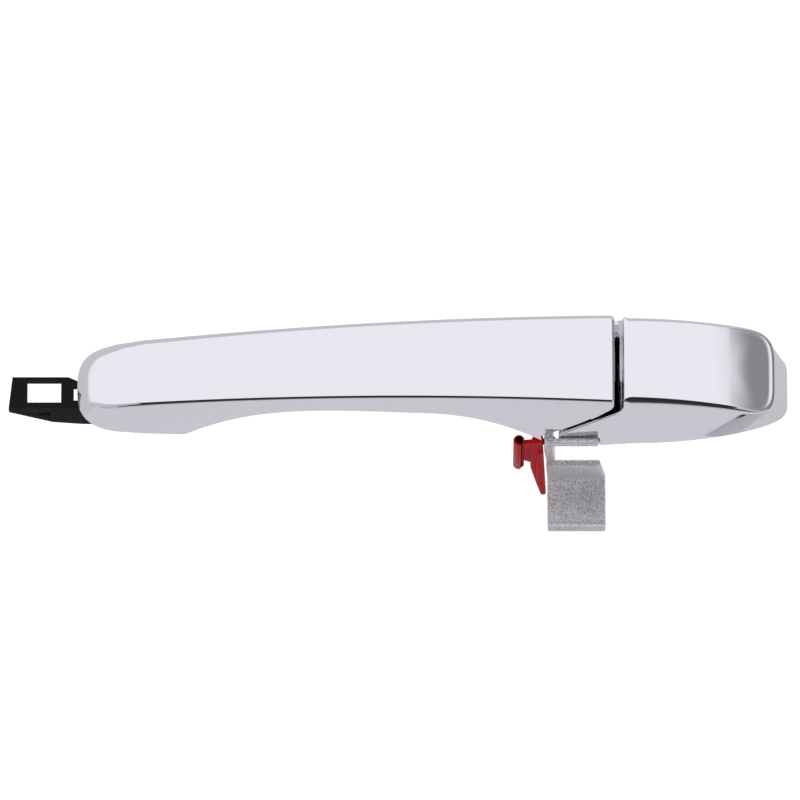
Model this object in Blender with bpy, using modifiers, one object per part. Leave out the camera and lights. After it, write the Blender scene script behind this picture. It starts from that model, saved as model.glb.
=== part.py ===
"""Outside door handle of a car: a strap grip that swings on a foot at its nose, and the fixed cap behind it.

The handle lies along X as it does on the door. X grows towards the tail of the cap, -Y points out of the
door, Z is up. Y = 0 is the door skin, and the origin is on the flat back of the cap's carrier.
"""

from math import atan, cos, pi, sin, tan

import bmesh
import bpy
import numpy as np
from mathutils import Matrix

MM = 0.001

# ---- driving sizes -------------------------------------------------------------------------------------
CLEAR = 0.4 * MM  # gap kept between pieces that seat on or in each other
WALL = 2.5 * MM  # plated shells
FLARE = 5.6 * MM  # how far the grip's base stands out past its crease, above and below
CROWN = 0.5 * MM  # rise of a face from its edge to its middle

GRIP_LENGTH = 197.1 * MM  # nose tip to rear lip
GRIP_DEPTH = 30.5 * MM  # door skin to the outermost point of the grip
GRIP_THICKNESS = 12.0 * MM  # front to back in the middle of the strap
GRIP_HALF_REAR = 16.9 * MM  # half height of the face at the parting
GRIP_HALF_NOSE = 12.3 * MM  # half height of the face where the nose begins
GRIP_PEAK_SETBACK = 32.6 * MM  # rear lip to the outermost point
FACE_SWEEP = 14.7 * MM  # how far the face falls back from its peak to the nose
NOSE_LENGTH = 24.5 * MM
NOSE_BASE = 40.0 * MM  # flat of the nose on the door
NOSE_TIP_HEIGHT = 6.05 * MM  # the crease at the tip, out from the door; the face rolls back over the nose to it
NOSE_CREASE_SETBACK = 4.8 * MM  # base tip to crease tip
FRONT_RAMP = 80.0 * MM
FRONT_RAMP_POWER = 3.2
REAR_RAMP = 45.0 * MM
REAR_RAMP_POWER = 2.2
BACK_SHELL_THICKNESS = 2.5 * MM
BACK_SHELL_SETBACK = 3.5 * MM  # flat of the nose to the back shell
BACK_SHELL_TO_HEEL = 16.0 * MM
BACK_SCREW_SETBACKS = (31.0 * MM, 20.0 * MM)  # from the two ends of the back shell
BUMPER_HALF = 8.0 * MM
BUMPER_PROUD = 0.8 * MM
BUMPER_TO_HEEL = 2.8 * MM
CORE_HALF = 7.0 * MM

PARTING_X = -27.4 * MM  # rear lip of the grip
PARTING_GAP = 3.1 * MM  # grip to cap at the face
PARTING_RUN = 26.8 * MM  # rear lip to heel, along X
PARTING_SLOPE = 0.62
PARTING_CURL = 70.0 * MM  # the cut steepens with the cube of the run over this length
HEEL_HEIGHT = 5.4 * MM  # where the slanting cut begins
HEEL_RAMP_OVERRUN = 2.7 * MM

CAP_DEPTH = 28.8 * MM
CAP_TAIL = 36.1 * MM  # base tip of the tail
CAP_HALF_FACE = 16.2 * MM
CAP_HALF_BASE = 23.2 * MM  # at the toe
CAP_TOE_TAPER = 1.6 * MM  # the base's half height lost between the toe and its shoulder
CAP_TAIL_TAPER = 0.39  # and the share of it lost from there to the tail
CAP_FACE_RADIUS = 106.0 * MM
CAP_CREASE_SETBACK = 5.1 * MM
CAP_SLOPE_GAP = 2.6 * MM  # gap to the grip along the slanting cut, measured along X
CAP_CORNER_RADIUS = 7.0 * MM  # where the slanting cut turns up into the front wall
GASKET_WIDTH = 2.0 * MM
GASKET_THICKNESS = 1.8 * MM
CARRIER_THICKNESS = 4.0 * MM
BOSS_RADIUS = 4.0 * MM

FOOT_REACH = 24.8 * MM  # foot tip past the nose tip
FOOT_HALF = 6.1 * MM
FOOT_WALL = 4.0 * MM
FOOT_STANDOFF = 3.5 * MM  # room for the door skin between nose and foot
FOOT_DEPTH = 20.0 * MM
FLANGE_THICKNESS = 2.0 * MM
FLANGE_NOTCH = 4.5 * MM
TIP_RAKE = 1.3 * MM  # the foot's tip leans back by this towards its upper edge
NECK_DROP = 2.0 * MM  # the neck's upper edge below the wall's
END_BAR = 6.8 * MM
WINDOW_LENGTH = 12.4 * MM
WINDOW_SILL = 2.2 * MM  # under the window
WINDOW_HALF = 5.1 * MM
SLOT_WIDTH = 2.5 * MM
SLOT_SETBACK = 4.6 * MM  # window to slot
SLOT_DROP = 0.8 * MM  # the slot is this much shorter than the window at its lower end
RISER_LENGTH = 7.0 * MM
TANG_LENGTH = 20.0 * MM
TANG_HALF = 9.0 * MM
TANG_THICKNESS = 4.0 * MM
TANG_RECESS = 1.0 * MM
PIVOT_SETBACK = 3.7 * MM  # foot tip to the swing axis
PIVOT_DEPTH = 6.0 * MM

STEEL = 2.9 * MM  # hook sheet
HOOK_CLEARANCE = 1.3 * MM  # heel to hook web
TOE_CLEARANCE = 2.2 * MM  # hook web to the toe of the cap
EAR_LENGTH = 13.0 * MM
EAR_HALF = 8.5 * MM
EAR_DEPTH = 17.0 * MM  # rear face of the ear, out from the door skin
WEB_HEAD = 13.0 * MM  # how far down it reaches at the ear
WEB_HEAD_SLOPE_END = 8.0 * MM  # the web is at its full height from here in, out from the door skin
WEB_TOP = 2.0 * MM  # upper edge of the web below the middle
FINGER_TOP = 21.8 * MM
FINGER_HEIGHT = 2.6 * MM
FINGER_LENGTH = 19.7 * MM
FINGER_FRONT = 6.6 * MM
SHELF_FRONT = 34.0 * MM
SHELF_TOP = 14.0 * MM
SHELF_LENGTH = 12.6 * MM
TAB_HEIGHT = 16.0 * MM
LIP_RADIUS = 2.0 * MM
LIP_LENGTH = 6.0 * MM
HOOK_WIDTH_FRONT = 19.1 * MM
HOOK_WIDTH_REAR = 21.6 * MM
WEB_LEAN = 0.08  # sideways lean of the web once it is inside the door
WEB_LEAN_START = 12.0 * MM

CLIP_LEVEL = 18.5 * MM
CLIP_FRONT = 4.0 * MM
CLIP_LEG_LENGTH = 42.0 * MM
CLIP_LEG_WIDTH = 4.2 * MM
CLIP_LEG_HEIGHT = 2.4 * MM
CLIP_BARREL_RADIUS = 2.1 * MM
CLIP_BARREL_LENGTH = 24.0 * MM
CLIP_BARREL_BORE = 1.2 * MM
CLIP_BRIDGE_DROP = 2.6 * MM
CLIP_PEG_RADIUS = 1.2 * MM
CLIP_PEG_DEPTH = 12.0 * MM
CLIP_HEAD_RADIUS = 1.9 * MM

LUG_START = 12.0 * MM
LUG_LENGTH = 12.0 * MM
LUG_HALF = 6.5 * MM
LUG_DEPTH = 20.0 * MM
LUG_HOLE_DEPTH = 12.0 * MM
NUT_THICKNESS = 0.9 * MM
NUT_HALF = 4.2 * MM

SCREW_RADIUS = 1.5 * MM
HEAD_RADIUS = 3.0 * MM
HEAD_HEIGHT = 1.7 * MM
SOCKET_RADIUS = 1.2 * MM
SOCKET_DEPTH = 0.9 * MM
FOOT_SCREW_LENGTH = 7.0 * MM
FOOT_SCREW_SETBACK = 4.0 * MM  # shoulder of the nose to the first
FOOT_SCREW_PITCH = 11.0 * MM
HOOK_SCREW_LENGTH = 7.5 * MM
HOOK_SCREW_SETBACK = 8.5 * MM  # from the web
HOOK_SCREW_SPREAD = 4.5 * MM  # above and below the middle
BACK_SCREW_TIP_GAP = 0.8 * MM  # end of a back shell screw to the outer shell
COVER_SCREW_LENGTH = 12.0 * MM
CAP_SCREW_LENGTH = 16.0 * MM

STATION = 6.0 * MM  # length of a facet along the grip
NOSE_FACETS = 12  # facets round a quarter of a nose or tail
FINE_STEPS = 400  # points from which those facets are measured off

# ---- places that follow from them ----------------------------------------------------------------------
GRIP_TIP = PARTING_X - GRIP_LENGTH
NOSE_SHOULDER = GRIP_TIP + NOSE_LENGTH
NOSE_BASE_END = GRIP_TIP + NOSE_BASE
FACE_PEAK_X = PARTING_X - GRIP_PEAK_SETBACK
HEEL_X = PARTING_X - PARTING_RUN
RAMP_END = HEEL_X + HEEL_RAMP_OVERRUN
BOW_DEPTH = GRIP_DEPTH - GRIP_THICKNESS
WEB_X = HEEL_X + HOOK_CLEARANCE
TOE_X = WEB_X + STEEL + TOE_CLEARANCE
CAP_FRONT = PARTING_X + PARTING_GAP
FOOT_TIP = GRIP_TIP - FOOT_REACH
PIVOT = (FOOT_TIP + PIVOT_SETBACK, PIVOT_DEPTH, 0.0)
TANG_TOP = -TANG_RECESS - TANG_THICKNESS
BACK_SHELL_START = NOSE_BASE_END + BACK_SHELL_SETBACK
BACK_SHELL_END = HEEL_X - BACK_SHELL_TO_HEEL


# ---- scene, materials and plain helpers ----------------------------------------------------------------
def clear_scene():
    for obj in list(bpy.data.objects):
        bpy.data.objects.remove(obj, do_unlink=True)


def new_collection(name):
    collection = bpy.data.collections.new(name)
    bpy.context.scene.collection.children.link(collection)
    return collection


def new_material(name, colour, metallic, roughness):
    material = bpy.data.materials.new(name)
    material.use_nodes = True
    shader = material.node_tree.nodes["Principled BSDF"]
    shader.inputs["Base Color"].default_value = (*colour, 1.0)
    shader.inputs["Metallic"].default_value = metallic
    shader.inputs["Roughness"].default_value = roughness
    return material


clear_scene()
PARTS = new_collection("car_door_handle")
CUTTERS = new_collection("cutters")

CHROME = new_material("chrome_plate", (0.80, 0.80, 0.82), 1.0, 0.06)
BLACK_NYLON = new_material("black_nylon", (0.012, 0.013, 0.015), 0.0, 0.45)
ZINC_STEEL = new_material("zinc_steel", (0.62, 0.64, 0.68), 1.0, 0.25)
RED_ACETAL = new_material("red_acetal", (0.52, 0.02, 0.03), 0.0, 0.35)
RUBBER = new_material("black_rubber", (0.02, 0.02, 0.02), 0.0, 0.8)
SCREW_STEEL = new_material("screw_steel", (0.45, 0.45, 0.46), 1.0, 0.35)


def new_empty(name, location):
    empty = bpy.data.objects.new(name, None)
    empty.location = location
    PARTS.objects.link(empty)
    return empty


CAP_ROOT = new_empty("cap_root", (0.0, 0.0, 0.0))
GRIP_PIVOT = new_empty("grip_pivot", PIVOT)


def attach(obj, parent):
    """Parents an object without moving it."""
    bpy.context.view_layer.update()
    obj.parent = parent
    obj.matrix_parent_inverse = parent.matrix_world.inverted()
    return obj


def mesh_from_bmesh(name, bm, merge=1e-6):
    bmesh.ops.remove_doubles(bm, verts=bm.verts, dist=merge)
    bmesh.ops.recalc_face_normals(bm, faces=bm.faces)
    mesh = bpy.data.meshes.new(name)
    bm.to_mesh(mesh)
    bm.free()
    return mesh


def add_part(name, mesh, material, parent):
    obj = bpy.data.objects.new(name, mesh)
    mesh.materials.append(material)
    PARTS.objects.link(obj)
    return attach(obj, parent)


def add_cutter(name, mesh):
    obj = bpy.data.objects.new(name, mesh)
    obj.hide_render = True
    obj.display_type = "WIRE"
    CUTTERS.objects.link(obj)
    return obj


def boolean(obj, operation, *others):
    for other in others:
        modifier = obj.modifiers.new(other.name, "BOOLEAN")
        modifier.operation = operation
        modifier.object = other
    return obj


def cut(obj, *others):
    return boolean(obj, "DIFFERENCE", *others)


def join(obj, *others):
    return boolean(obj, "UNION", *others)


def box_mesh(name, low, high):
    bm = bmesh.new()
    bmesh.ops.create_cube(bm, size=1.0)
    low, high = np.array(low), np.array(high)
    bmesh.ops.scale(bm, vec=high - low, verts=bm.verts)
    bmesh.ops.translate(bm, vec=(high + low) / 2, verts=bm.verts)
    return mesh_from_bmesh(name, bm)


def rod_mesh(name, start, axis, length, radius, sides=20):
    """Cylinder that starts at a point and runs along X or Y; a negative length runs the other way."""
    turn = Matrix.Rotation(pi / 2, 4, "Y") if axis == "X" else Matrix.Rotation(-pi / 2, 4, "X")
    bm = bmesh.new()
    place = Matrix.Translation(start) @ turn @ Matrix.Translation((0, 0, length / 2))
    bmesh.ops.create_cone(
        bm, cap_ends=True, segments=sides, radius1=radius, radius2=radius, depth=abs(length), matrix=place
    )
    return mesh_from_bmesh(name, bm)


def prism_mesh(name, outline, axis, low, high):
    """An outline of two coordinates, extruded along the third axis from low to high."""
    order = {"X": (2, 0, 1), "Y": (0, 2, 1), "Z": (0, 1, 2)}[axis]
    outline = np.array(outline)
    bm = bmesh.new()
    rings = []
    for level in (low, high):
        flat = np.column_stack([outline, np.full(len(outline), level)])[:, order]
        rings.append([bm.verts.new(point) for point in flat])
    count = len(outline)
    for i in range(count):
        j = (i + 1) % count
        bm.faces.new((rings[0][i], rings[0][j], rings[1][j], rings[1][i]))
    bm.faces.new(rings[0])
    bm.faces.new(rings[1])
    return mesh_from_bmesh(name, bm)


def loft_mesh(name, rings):
    """A closed bar through rings of equally many points, capped at both ends."""
    rings = np.array(rings)
    bm = bmesh.new()
    verts = [[bm.verts.new(point) for point in ring] for ring in rings]
    count = rings.shape[1]
    for first, second in zip(verts, verts[1:]):
        for i in range(count):
            j = (i + 1) % count
            bm.faces.new((first[i], first[j], second[j], second[i]))
    bm.faces.new(verts[0])
    bm.faces.new(verts[-1])
    return mesh_from_bmesh(name, bm)


# ---- plan outlines and the lofted shells ---------------------------------------------------------------
class Plan:
    """An outline seen along Y: straight sides from an open end to a shoulder, then a superellipse to the tip.

    A taper narrows the superellipse towards its tip, by that share, with the square of the run.
    """

    def __init__(self, open_x, shoulder, tip, half_open, half_shoulder, power, taper=0.0):
        self.open_x, self.shoulder, self.tip = open_x, shoulder, tip
        self.half_open, self.half_shoulder, self.power, self.taper = half_open, half_shoulder, power, taper
        self.way = 1.0 if tip > shoulder else -1.0

    def inset(self, side, end=0.0):
        """The same outline moved in by side all round, with its open end moved in by end."""
        return Plan(
            self.open_x + self.way * end,
            self.shoulder,
            self.tip - self.way * side,
            self.half_open - side,
            self.half_shoulder - side,
            self.power,
            self.taper,
        )

    def loop(self, straight, facets=NOSE_FACETS):
        """X and Z from the open end's upper corner, round the tip in equal steps, to its lower corner."""
        angles = np.linspace(pi / 2, 0, FINE_STEPS)
        x = self.open_x + (self.shoulder - self.open_x) * straight
        z = self.half_open + (self.half_shoulder - self.half_open) * straight
        run = np.cos(angles) ** (2 / self.power)
        arc_x = self.shoulder + (self.tip - self.shoulder) * run
        arc_z = self.half_shoulder * np.sin(angles) ** (2 / self.power) * (1 - self.taper * run**2)
        arc_x[-1], arc_z[-1] = self.tip, 0.0
        length = np.concatenate([[0], np.cumsum(np.hypot(np.diff(arc_x), np.diff(arc_z)))])
        share = np.linspace(0, length[-1], facets + 1)[1:]
        arc_x, arc_z = np.interp(share, length, arc_x), np.interp(share, length, arc_z)
        x, z = np.concatenate([x, arc_x]), np.concatenate([z, arc_z])
        return np.concatenate([x, x[-2::-1]]), np.concatenate([z, -z[-2::-1]])

    def pull_in(self, x, share):
        """X of a loop shrunk to a share of its height, about the shoulder."""
        past = (x - self.shoulder) * self.way > 0
        return np.where(past, self.shoulder + (x - self.shoulder) * share, x)


def blank_mesh(name, crease, base, straight, face, back, edge, face_drop=0.0, overrun=0.0):
    """Solid between a crowned face and a back, with straight flanks from the crease's outline to the base's.

    The rings run from the middle of the face over a rounded crease and down the flank to the middle of the
    back. The base's outline is the flank's at Y = 0. An overrun carries the back past its own surface.
    """
    x1, z1 = crease.loop(straight)
    x0, z0 = base.loop(straight)
    rim_y = face(x1) + face_drop + CROWN
    back_y = back(x1) + overrun

    def face_ring(share):
        x = crease.pull_in(x1, share)
        return np.column_stack([x, face(x) + face_drop + CROWN * share**2, z1 * share])

    def flank_ring(y):
        share = ((y - rim_y) / np.maximum(-rim_y, MM))[:, None]
        return np.column_stack([x1, y, z1]) + share * np.column_stack([x0 - x1, 0 * x1, z0 - z1])

    def back_ring(share):
        edge_ring = flank_ring(back_y)
        x = base.pull_in(edge_ring[:, 0], share)
        return np.column_stack([x, back_y, edge_ring[:, 2] * share])

    corner = face_ring(1.0)
    inner = face_ring(1.0 - edge / crease.half_shoulder)
    outer = flank_ring(rim_y + edge)
    crease_rings = [inner * (1 - t) ** 2 + corner * 2 * t * (1 - t) + outer * t**2 for t in (0, 0.35, 0.7, 1)]
    rings = [face_ring(0.0), face_ring(0.5), *crease_rings, back_ring(1.0), back_ring(0.5), back_ring(0.0)]

    bm = bmesh.new()
    verts = [[bm.verts.new(point) for point in ring] for ring in rings]
    for first, second in zip(verts, verts[1:]):
        for i in range(len(first) - 1):
            bm.faces.new((first[i], first[i + 1], second[i + 1], second[i]))
    bm.faces.new([ring[0] for ring in verts] + [ring[-1] for ring in reversed(verts)])
    return mesh_from_bmesh(name, bm, merge=1e-5)


def ring_mesh(name, outer, inner, low, high, steps=6):
    """A flat ring between two closed outlines, such as a gasket."""
    straight = np.linspace(0, 1, steps)
    bm = bmesh.new()
    loops = []
    for plan, y in ((outer, low), (outer, high), (inner, high), (inner, low)):
        x, z = plan.loop(straight)
        loops.append([bm.verts.new((px, y, pz)) for px, pz in zip(x, z)])
    count = len(loops[0])
    for k in range(4):
        first, second = loops[k], loops[(k + 1) % 4]
        for i in range(count):
            j = (i + 1) % count
            bm.faces.new((first[i], first[j], second[j], second[i]))
    return mesh_from_bmesh(name, bm)


# ---- screws --------------------------------------------------------------------------------------------
def screw_mesh(length):
    """Pan head above z = 0 and a plain shank below it, turned from a profile, with a hexagon socket."""
    profile = [
        (0.0, HEAD_HEIGHT),
        (0.75 * HEAD_RADIUS, HEAD_HEIGHT),
        (HEAD_RADIUS, 0.55 * HEAD_HEIGHT),
        (HEAD_RADIUS, 0.0),
        (SCREW_RADIUS, 0.0),
        (SCREW_RADIUS, -length + SCREW_RADIUS),
        (0.3 * SCREW_RADIUS, -length),
        (0.0, -length),
    ]
    mesh = bpy.data.meshes.new("screw")
    points = [(radius, 0.0, height) for radius, height in profile]
    mesh.from_pydata(points, [(i, i + 1) for i in range(len(points) - 1)], [])
    return mesh


def socket_cutter(name, place):
    bm = bmesh.new()
    depth = Matrix.Translation((0, 0, HEAD_HEIGHT))
    bmesh.ops.create_cone(
        bm,
        cap_ends=True,
        segments=6,
        radius1=SOCKET_RADIUS,
        radius2=SOCKET_RADIUS,
        depth=2 * SOCKET_DEPTH,
        matrix=place @ depth,
    )
    return add_cutter(name, mesh_from_bmesh(name, bm))


def add_screw(name, seat, axis, length, parent):
    """A screw whose head sits on a point, facing +X or +Y."""
    turn = Matrix.Rotation(pi / 2, 4, "Y") if axis == "X" else Matrix.Rotation(-pi / 2, 4, "X")
    place = Matrix.Translation(seat) @ turn
    obj = bpy.data.objects.new(name, screw_mesh(length))
    obj.data.materials.append(SCREW_STEEL)
    obj.matrix_world = place
    PARTS.objects.link(obj)
    spin = obj.modifiers.new("turn", "SCREW")
    spin.steps = spin.render_steps = 18
    spin.use_merge_vertices = True
    spin.merge_threshold = 1e-6
    spin.use_smooth_shade = False
    cut(obj, socket_cutter(name + "_socket", place))
    return attach(obj, parent)


def shank_hole(name, seat, axis, length, clearance=CLEAR):
    start = np.array(seat, float)
    start["XY".index(axis)] += MM
    return add_cutter(name, rod_mesh(name, start, axis, -(length + MM), SCREW_RADIUS + clearance))


def head_pocket(name, seat, axis, height=None):
    start = np.array(seat, float)
    start["XY".index(axis)] -= 0.3 * MM
    height = 2 * HEAD_HEIGHT if height is None else height
    return add_cutter(name, rod_mesh(name, start, axis, height, HEAD_RADIUS + CLEAR, 24))


# ---- surfaces of the grip ------------------------------------------------------------------------------
NOSE_CREASE_TIP = GRIP_TIP + NOSE_CREASE_SETBACK
NOSE_SWEEP = FACE_SWEEP * ((FACE_PEAK_X - NOSE_CREASE_TIP) / (FACE_PEAK_X - NOSE_SHOULDER)) ** 2
NOSE_ROLL = GRIP_DEPTH - NOSE_SWEEP - NOSE_TIP_HEIGHT


def grip_face(x):
    """Y of the middle of the face: a parabola that falls back from its peak, rolled back over the nose."""
    sweep = FACE_SWEEP * ((FACE_PEAK_X - x) / (FACE_PEAK_X - NOSE_SHOULDER)) ** 2
    roll = NOSE_ROLL * (np.clip(NOSE_SHOULDER - x, 0, None) / (NOSE_SHOULDER - NOSE_CREASE_TIP)) ** 2
    return -GRIP_DEPTH + sweep + roll


def parting_line(x):
    """Y of the slanting cut that ends the grip, from the heel out to the rear lip."""
    run = x - HEEL_X
    return -HEEL_HEIGHT - PARTING_SLOPE * run - run**3 / PARTING_CURL**2


def grip_back(x):
    """Y of the back: on the door at the nose, bowed out over the hand, back down at the heel, then the cut."""
    front = np.clip((x - NOSE_BASE_END) / FRONT_RAMP, 0, 1)
    rear = np.clip((RAMP_END - x) / REAR_RAMP, 0, 1)
    rise = np.minimum(1 - (1 - front) ** FRONT_RAMP_POWER, 1 - (1 - rear) ** REAR_RAMP_POWER)
    return np.where(x > HEEL_X, parting_line(x), -BOW_DEPTH * rise)


def hollow_half(x, y):
    """Half height of the hollow at a depth, along the straight part of the grip."""
    share = (PARTING_X - x) / (PARTING_X - NOSE_SHOULDER)
    crease = GRIP_HALF_REAR + (GRIP_HALF_NOSE - GRIP_HALF_REAR) * share - WALL
    rim = grip_face(x) + CROWN + WALL
    return crease + FLARE * (y - rim) / -rim


def grip_stations(start, end):
    """X along the grip from start to end, closer together where the back curves, with its corners included."""
    count = int(abs(end - start) / STATION) + 2
    x = np.linspace(start, end, count)
    corners = [NOSE_BASE_END, HEEL_X, HEEL_X + 0.01 * MM, HEEL_X - 0.5 * STATION, HEEL_X + 0.5 * STATION]
    inside = [c for c in corners if min(start, end) < c < max(start, end)]
    x = np.array(sorted(set(x) | set(inside)))
    keep = np.array([c in inside or all(abs(c - d) > 0.3 * MM for d in inside) for c in x])
    x = x[keep]
    return x if end > start else x[::-1]


GRIP_CREASE = Plan(
    PARTING_X, NOSE_SHOULDER, NOSE_CREASE_TIP, GRIP_HALF_REAR, GRIP_HALF_NOSE, 3.0
)
GRIP_BASE = Plan(
    PARTING_X, NOSE_SHOULDER, GRIP_TIP, GRIP_HALF_REAR + FLARE, GRIP_HALF_NOSE + FLARE, 3.0
)


def grip_blank(name, wall, open_x, edge, overrun):
    """The grip's outer form, or with a wall the space inside it."""
    stations = grip_stations(open_x, NOSE_SHOULDER)
    straight = (stations - open_x) / (NOSE_SHOULDER - open_x)
    crease, base = GRIP_CREASE.inset(wall), GRIP_BASE.inset(wall)
    for plan in (crease, base):
        share = (open_x - PARTING_X) / (NOSE_SHOULDER - PARTING_X)
        plan.half_open += (plan.half_shoulder - plan.half_open) * share
        plan.open_x = open_x
    return blank_mesh(name, crease, base, straight, grip_face, grip_back, edge, wall, overrun)


# ---- the grip ------------------------------------------------------------------------------------------
LIP_SETBACK = 8.6 * MM  # the solid lip between the hollow and the parting
CREASE_EDGE = 1.2 * MM
HOLLOW_EDGE = 0.6 * MM
HOLLOW_OVERRUN = 4.0 * MM


def make_grip_outer_shell():
    """Plated outer shell, hollow and open towards the door and through the slanting cut."""
    shell = add_part(
        "grip_outer_shell",
        grip_blank("grip_outer_shell", 0.0, PARTING_X, CREASE_EDGE, 0.0),
        CHROME,
        GRIP_PIVOT,
    )
    hollow = grip_blank("grip_hollow", WALL, PARTING_X - LIP_SETBACK, HOLLOW_EDGE, HOLLOW_OVERRUN)
    return cut(shell, add_cutter("grip_hollow", hollow))


def strip_rings(stations, thickness, proud, half=None):
    """Four-cornered rings of a strip that lies in the back of the grip."""
    rings = []
    for x in stations:
        outer = float(grip_back(x)) + proud
        inner = float(grip_back(x)) - thickness
        wide = half or float(hollow_half(x, outer)) - CLEAR
        narrow = half or float(hollow_half(x, inner)) - CLEAR
        rings.append([(x, outer, -wide), (x, outer, wide), (x, inner, narrow), (x, inner, -narrow)])
    return rings


BACK_SCREW_X = (BACK_SHELL_START + BACK_SCREW_SETBACKS[0], BACK_SHELL_END - BACK_SCREW_SETBACKS[1])
HEAD_SINK = 0.2 * MM


def back_screw_seat(x):
    """Under the head of a back shell screw, so that the head ends just under flush."""
    return (x, float(grip_back(x)) - HEAD_HEIGHT - HEAD_SINK, 0.0)


def back_screw_room(x):
    """Depth from a back shell screw's seat to the inner face of the outer shell."""
    return back_screw_seat(x)[1] - float(grip_face(x) + CROWN + WALL)


BACK_SCREW_LENGTH = min(back_screw_room(x) for x in BACK_SCREW_X) - BACK_SCREW_TIP_GAP


def make_grip_back_shell():
    """Plated strip that closes the back of the grip where the hand pulls."""
    stations = grip_stations(BACK_SHELL_START, BACK_SHELL_END)
    mesh = loft_mesh("grip_back_shell", strip_rings(stations, BACK_SHELL_THICKNESS, 0.0))
    shell = add_part("grip_back_shell", mesh, CHROME, GRIP_PIVOT)
    for i, x in enumerate(BACK_SCREW_X, 1):
        seat = back_screw_seat(x)
        add_screw(f"back_shell_screw_{i}", seat, "Y", BACK_SCREW_LENGTH, GRIP_PIVOT)
        cut(
            shell,
            shank_hole(f"back_shell_hole_{i}", seat, "Y", 2 * BACK_SHELL_THICKNESS),
            head_pocket(f"back_shell_pocket_{i}", seat, "Y"),
        )
    return shell


CORE_NOSE_X = NOSE_SHOULDER - 11 * MM
EAR_END = WEB_X + EAR_LENGTH
CORE_END = EAR_END + MM
CORE_NOSE_BACK = TANG_TOP - CLEAR
EAR_FRONT = -EAR_DEPTH - STEEL


def core_back(x):
    """Y of the back of the core: over the tang in the nose, under the back shell, then under the hook's ear."""
    under_shell = grip_back(x) - BACK_SHELL_THICKNESS - CLEAR
    y = np.minimum(under_shell, CORE_NOSE_BACK)
    return np.where(x > WEB_X - CLEAR, EAR_FRONT - CLEAR, y)


FOOT_SCREW_X = (NOSE_SHOULDER - FOOT_SCREW_SETBACK, NOSE_SHOULDER - FOOT_SCREW_SETBACK + FOOT_SCREW_PITCH)
FOOT_SCREW_SEAT_Y = -TANG_RECESS - HEAD_HEIGHT
HOOK_SCREW_X = WEB_X + HOOK_SCREW_SETBACK
HOOK_SCREW_Z = (-HOOK_SCREW_SPREAD, HOOK_SCREW_SPREAD)


def make_grip_core():
    """Glass-filled nylon beam that carries the pull from the hook to the foot."""
    step = WEB_X - CLEAR
    x = grip_stations(CORE_NOSE_X, CORE_END)
    x = x[np.abs(x - step) > 0.3 * MM]
    x = np.array(sorted([*x, step, step + 0.01 * MM]))
    front = grip_face(x) + WALL + CROWN + CLEAR
    back = core_back(x)
    half = CORE_HALF
    rings = [[(a, f, -half), (a, f, half), (a, b, half), (a, b, -half)] for a, f, b in zip(x, front, back)]
    core = add_part("grip_core", loft_mesh("grip_core", rings), BLACK_NYLON, GRIP_PIVOT)
    for i, px in enumerate(FOOT_SCREW_X, 1):
        seat = (px, FOOT_SCREW_SEAT_Y, 0.0)
        cut(core, shank_hole(f"core_foot_hole_{i}", seat, "Y", FOOT_SCREW_LENGTH + CLEAR))
    for i, px in enumerate(BACK_SCREW_X, 1):
        cut(core, shank_hole(f"core_back_hole_{i}", back_screw_seat(px), "Y", 3 * BACK_SCREW_LENGTH))
    for i, pz in enumerate(HOOK_SCREW_Z, 1):
        seat = (HOOK_SCREW_X, -EAR_DEPTH, pz)
        cut(core, shank_hole(f"core_hook_hole_{i}", seat, "Y", HOOK_SCREW_LENGTH + CLEAR))
    return core


def make_heel_bumper():
    """Rubber strip in the heel that meets the door when the grip springs back."""
    stations = np.linspace(BACK_SHELL_END + CLEAR, HEEL_X - BUMPER_TO_HEEL, 4)
    mesh = loft_mesh("heel_bumper", strip_rings(stations, BACK_SHELL_THICKNESS, BUMPER_PROUD, BUMPER_HALF))
    return add_part("heel_bumper", mesh, RUBBER, GRIP_PIVOT)


PAD_THICKNESS = 1.2 * MM
PAD_WIDTH = 2.0 * MM
PAD_DRAFT = 1.0 * MM  # the nose narrows from its base, so the pad keeps this much more clear
PAD_END = NOSE_BASE_END - 2 * MM


def make_nose_pad():
    """Rubber ring in the base of the nose, round the foot."""
    share = (PAD_END - PARTING_X) / (NOSE_SHOULDER - PARTING_X)
    half_open = GRIP_BASE.half_open + (GRIP_BASE.half_shoulder - GRIP_BASE.half_open) * share
    rim = Plan(PAD_END, NOSE_SHOULDER, GRIP_TIP, half_open, GRIP_BASE.half_shoulder, GRIP_BASE.power)
    outer = rim.inset(WALL + CLEAR + PAD_DRAFT)
    inner = outer.inset(PAD_WIDTH, PAD_WIDTH)
    mesh = ring_mesh("nose_pad", outer, inner, -PAD_THICKNESS, 0.0, steps=3)
    return add_part("nose_pad", mesh, RUBBER, GRIP_PIVOT)


# ---- the foot ------------------------------------------------------------------------------------------
WINDOW_X = FOOT_TIP + END_BAR
SLOT_X = WINDOW_X + WINDOW_LENGTH + SLOT_SETBACK
RISER_X = GRIP_TIP + 9.5 * MM
RISER_END = RISER_X + RISER_LENGTH
FOOT_BACK = FOOT_STANDOFF + FOOT_WALL
TANG_X = RISER_X + 4.5 * MM
THROUGH = 5 * MM  # how far a cutter runs past the wall that it cuts


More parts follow.
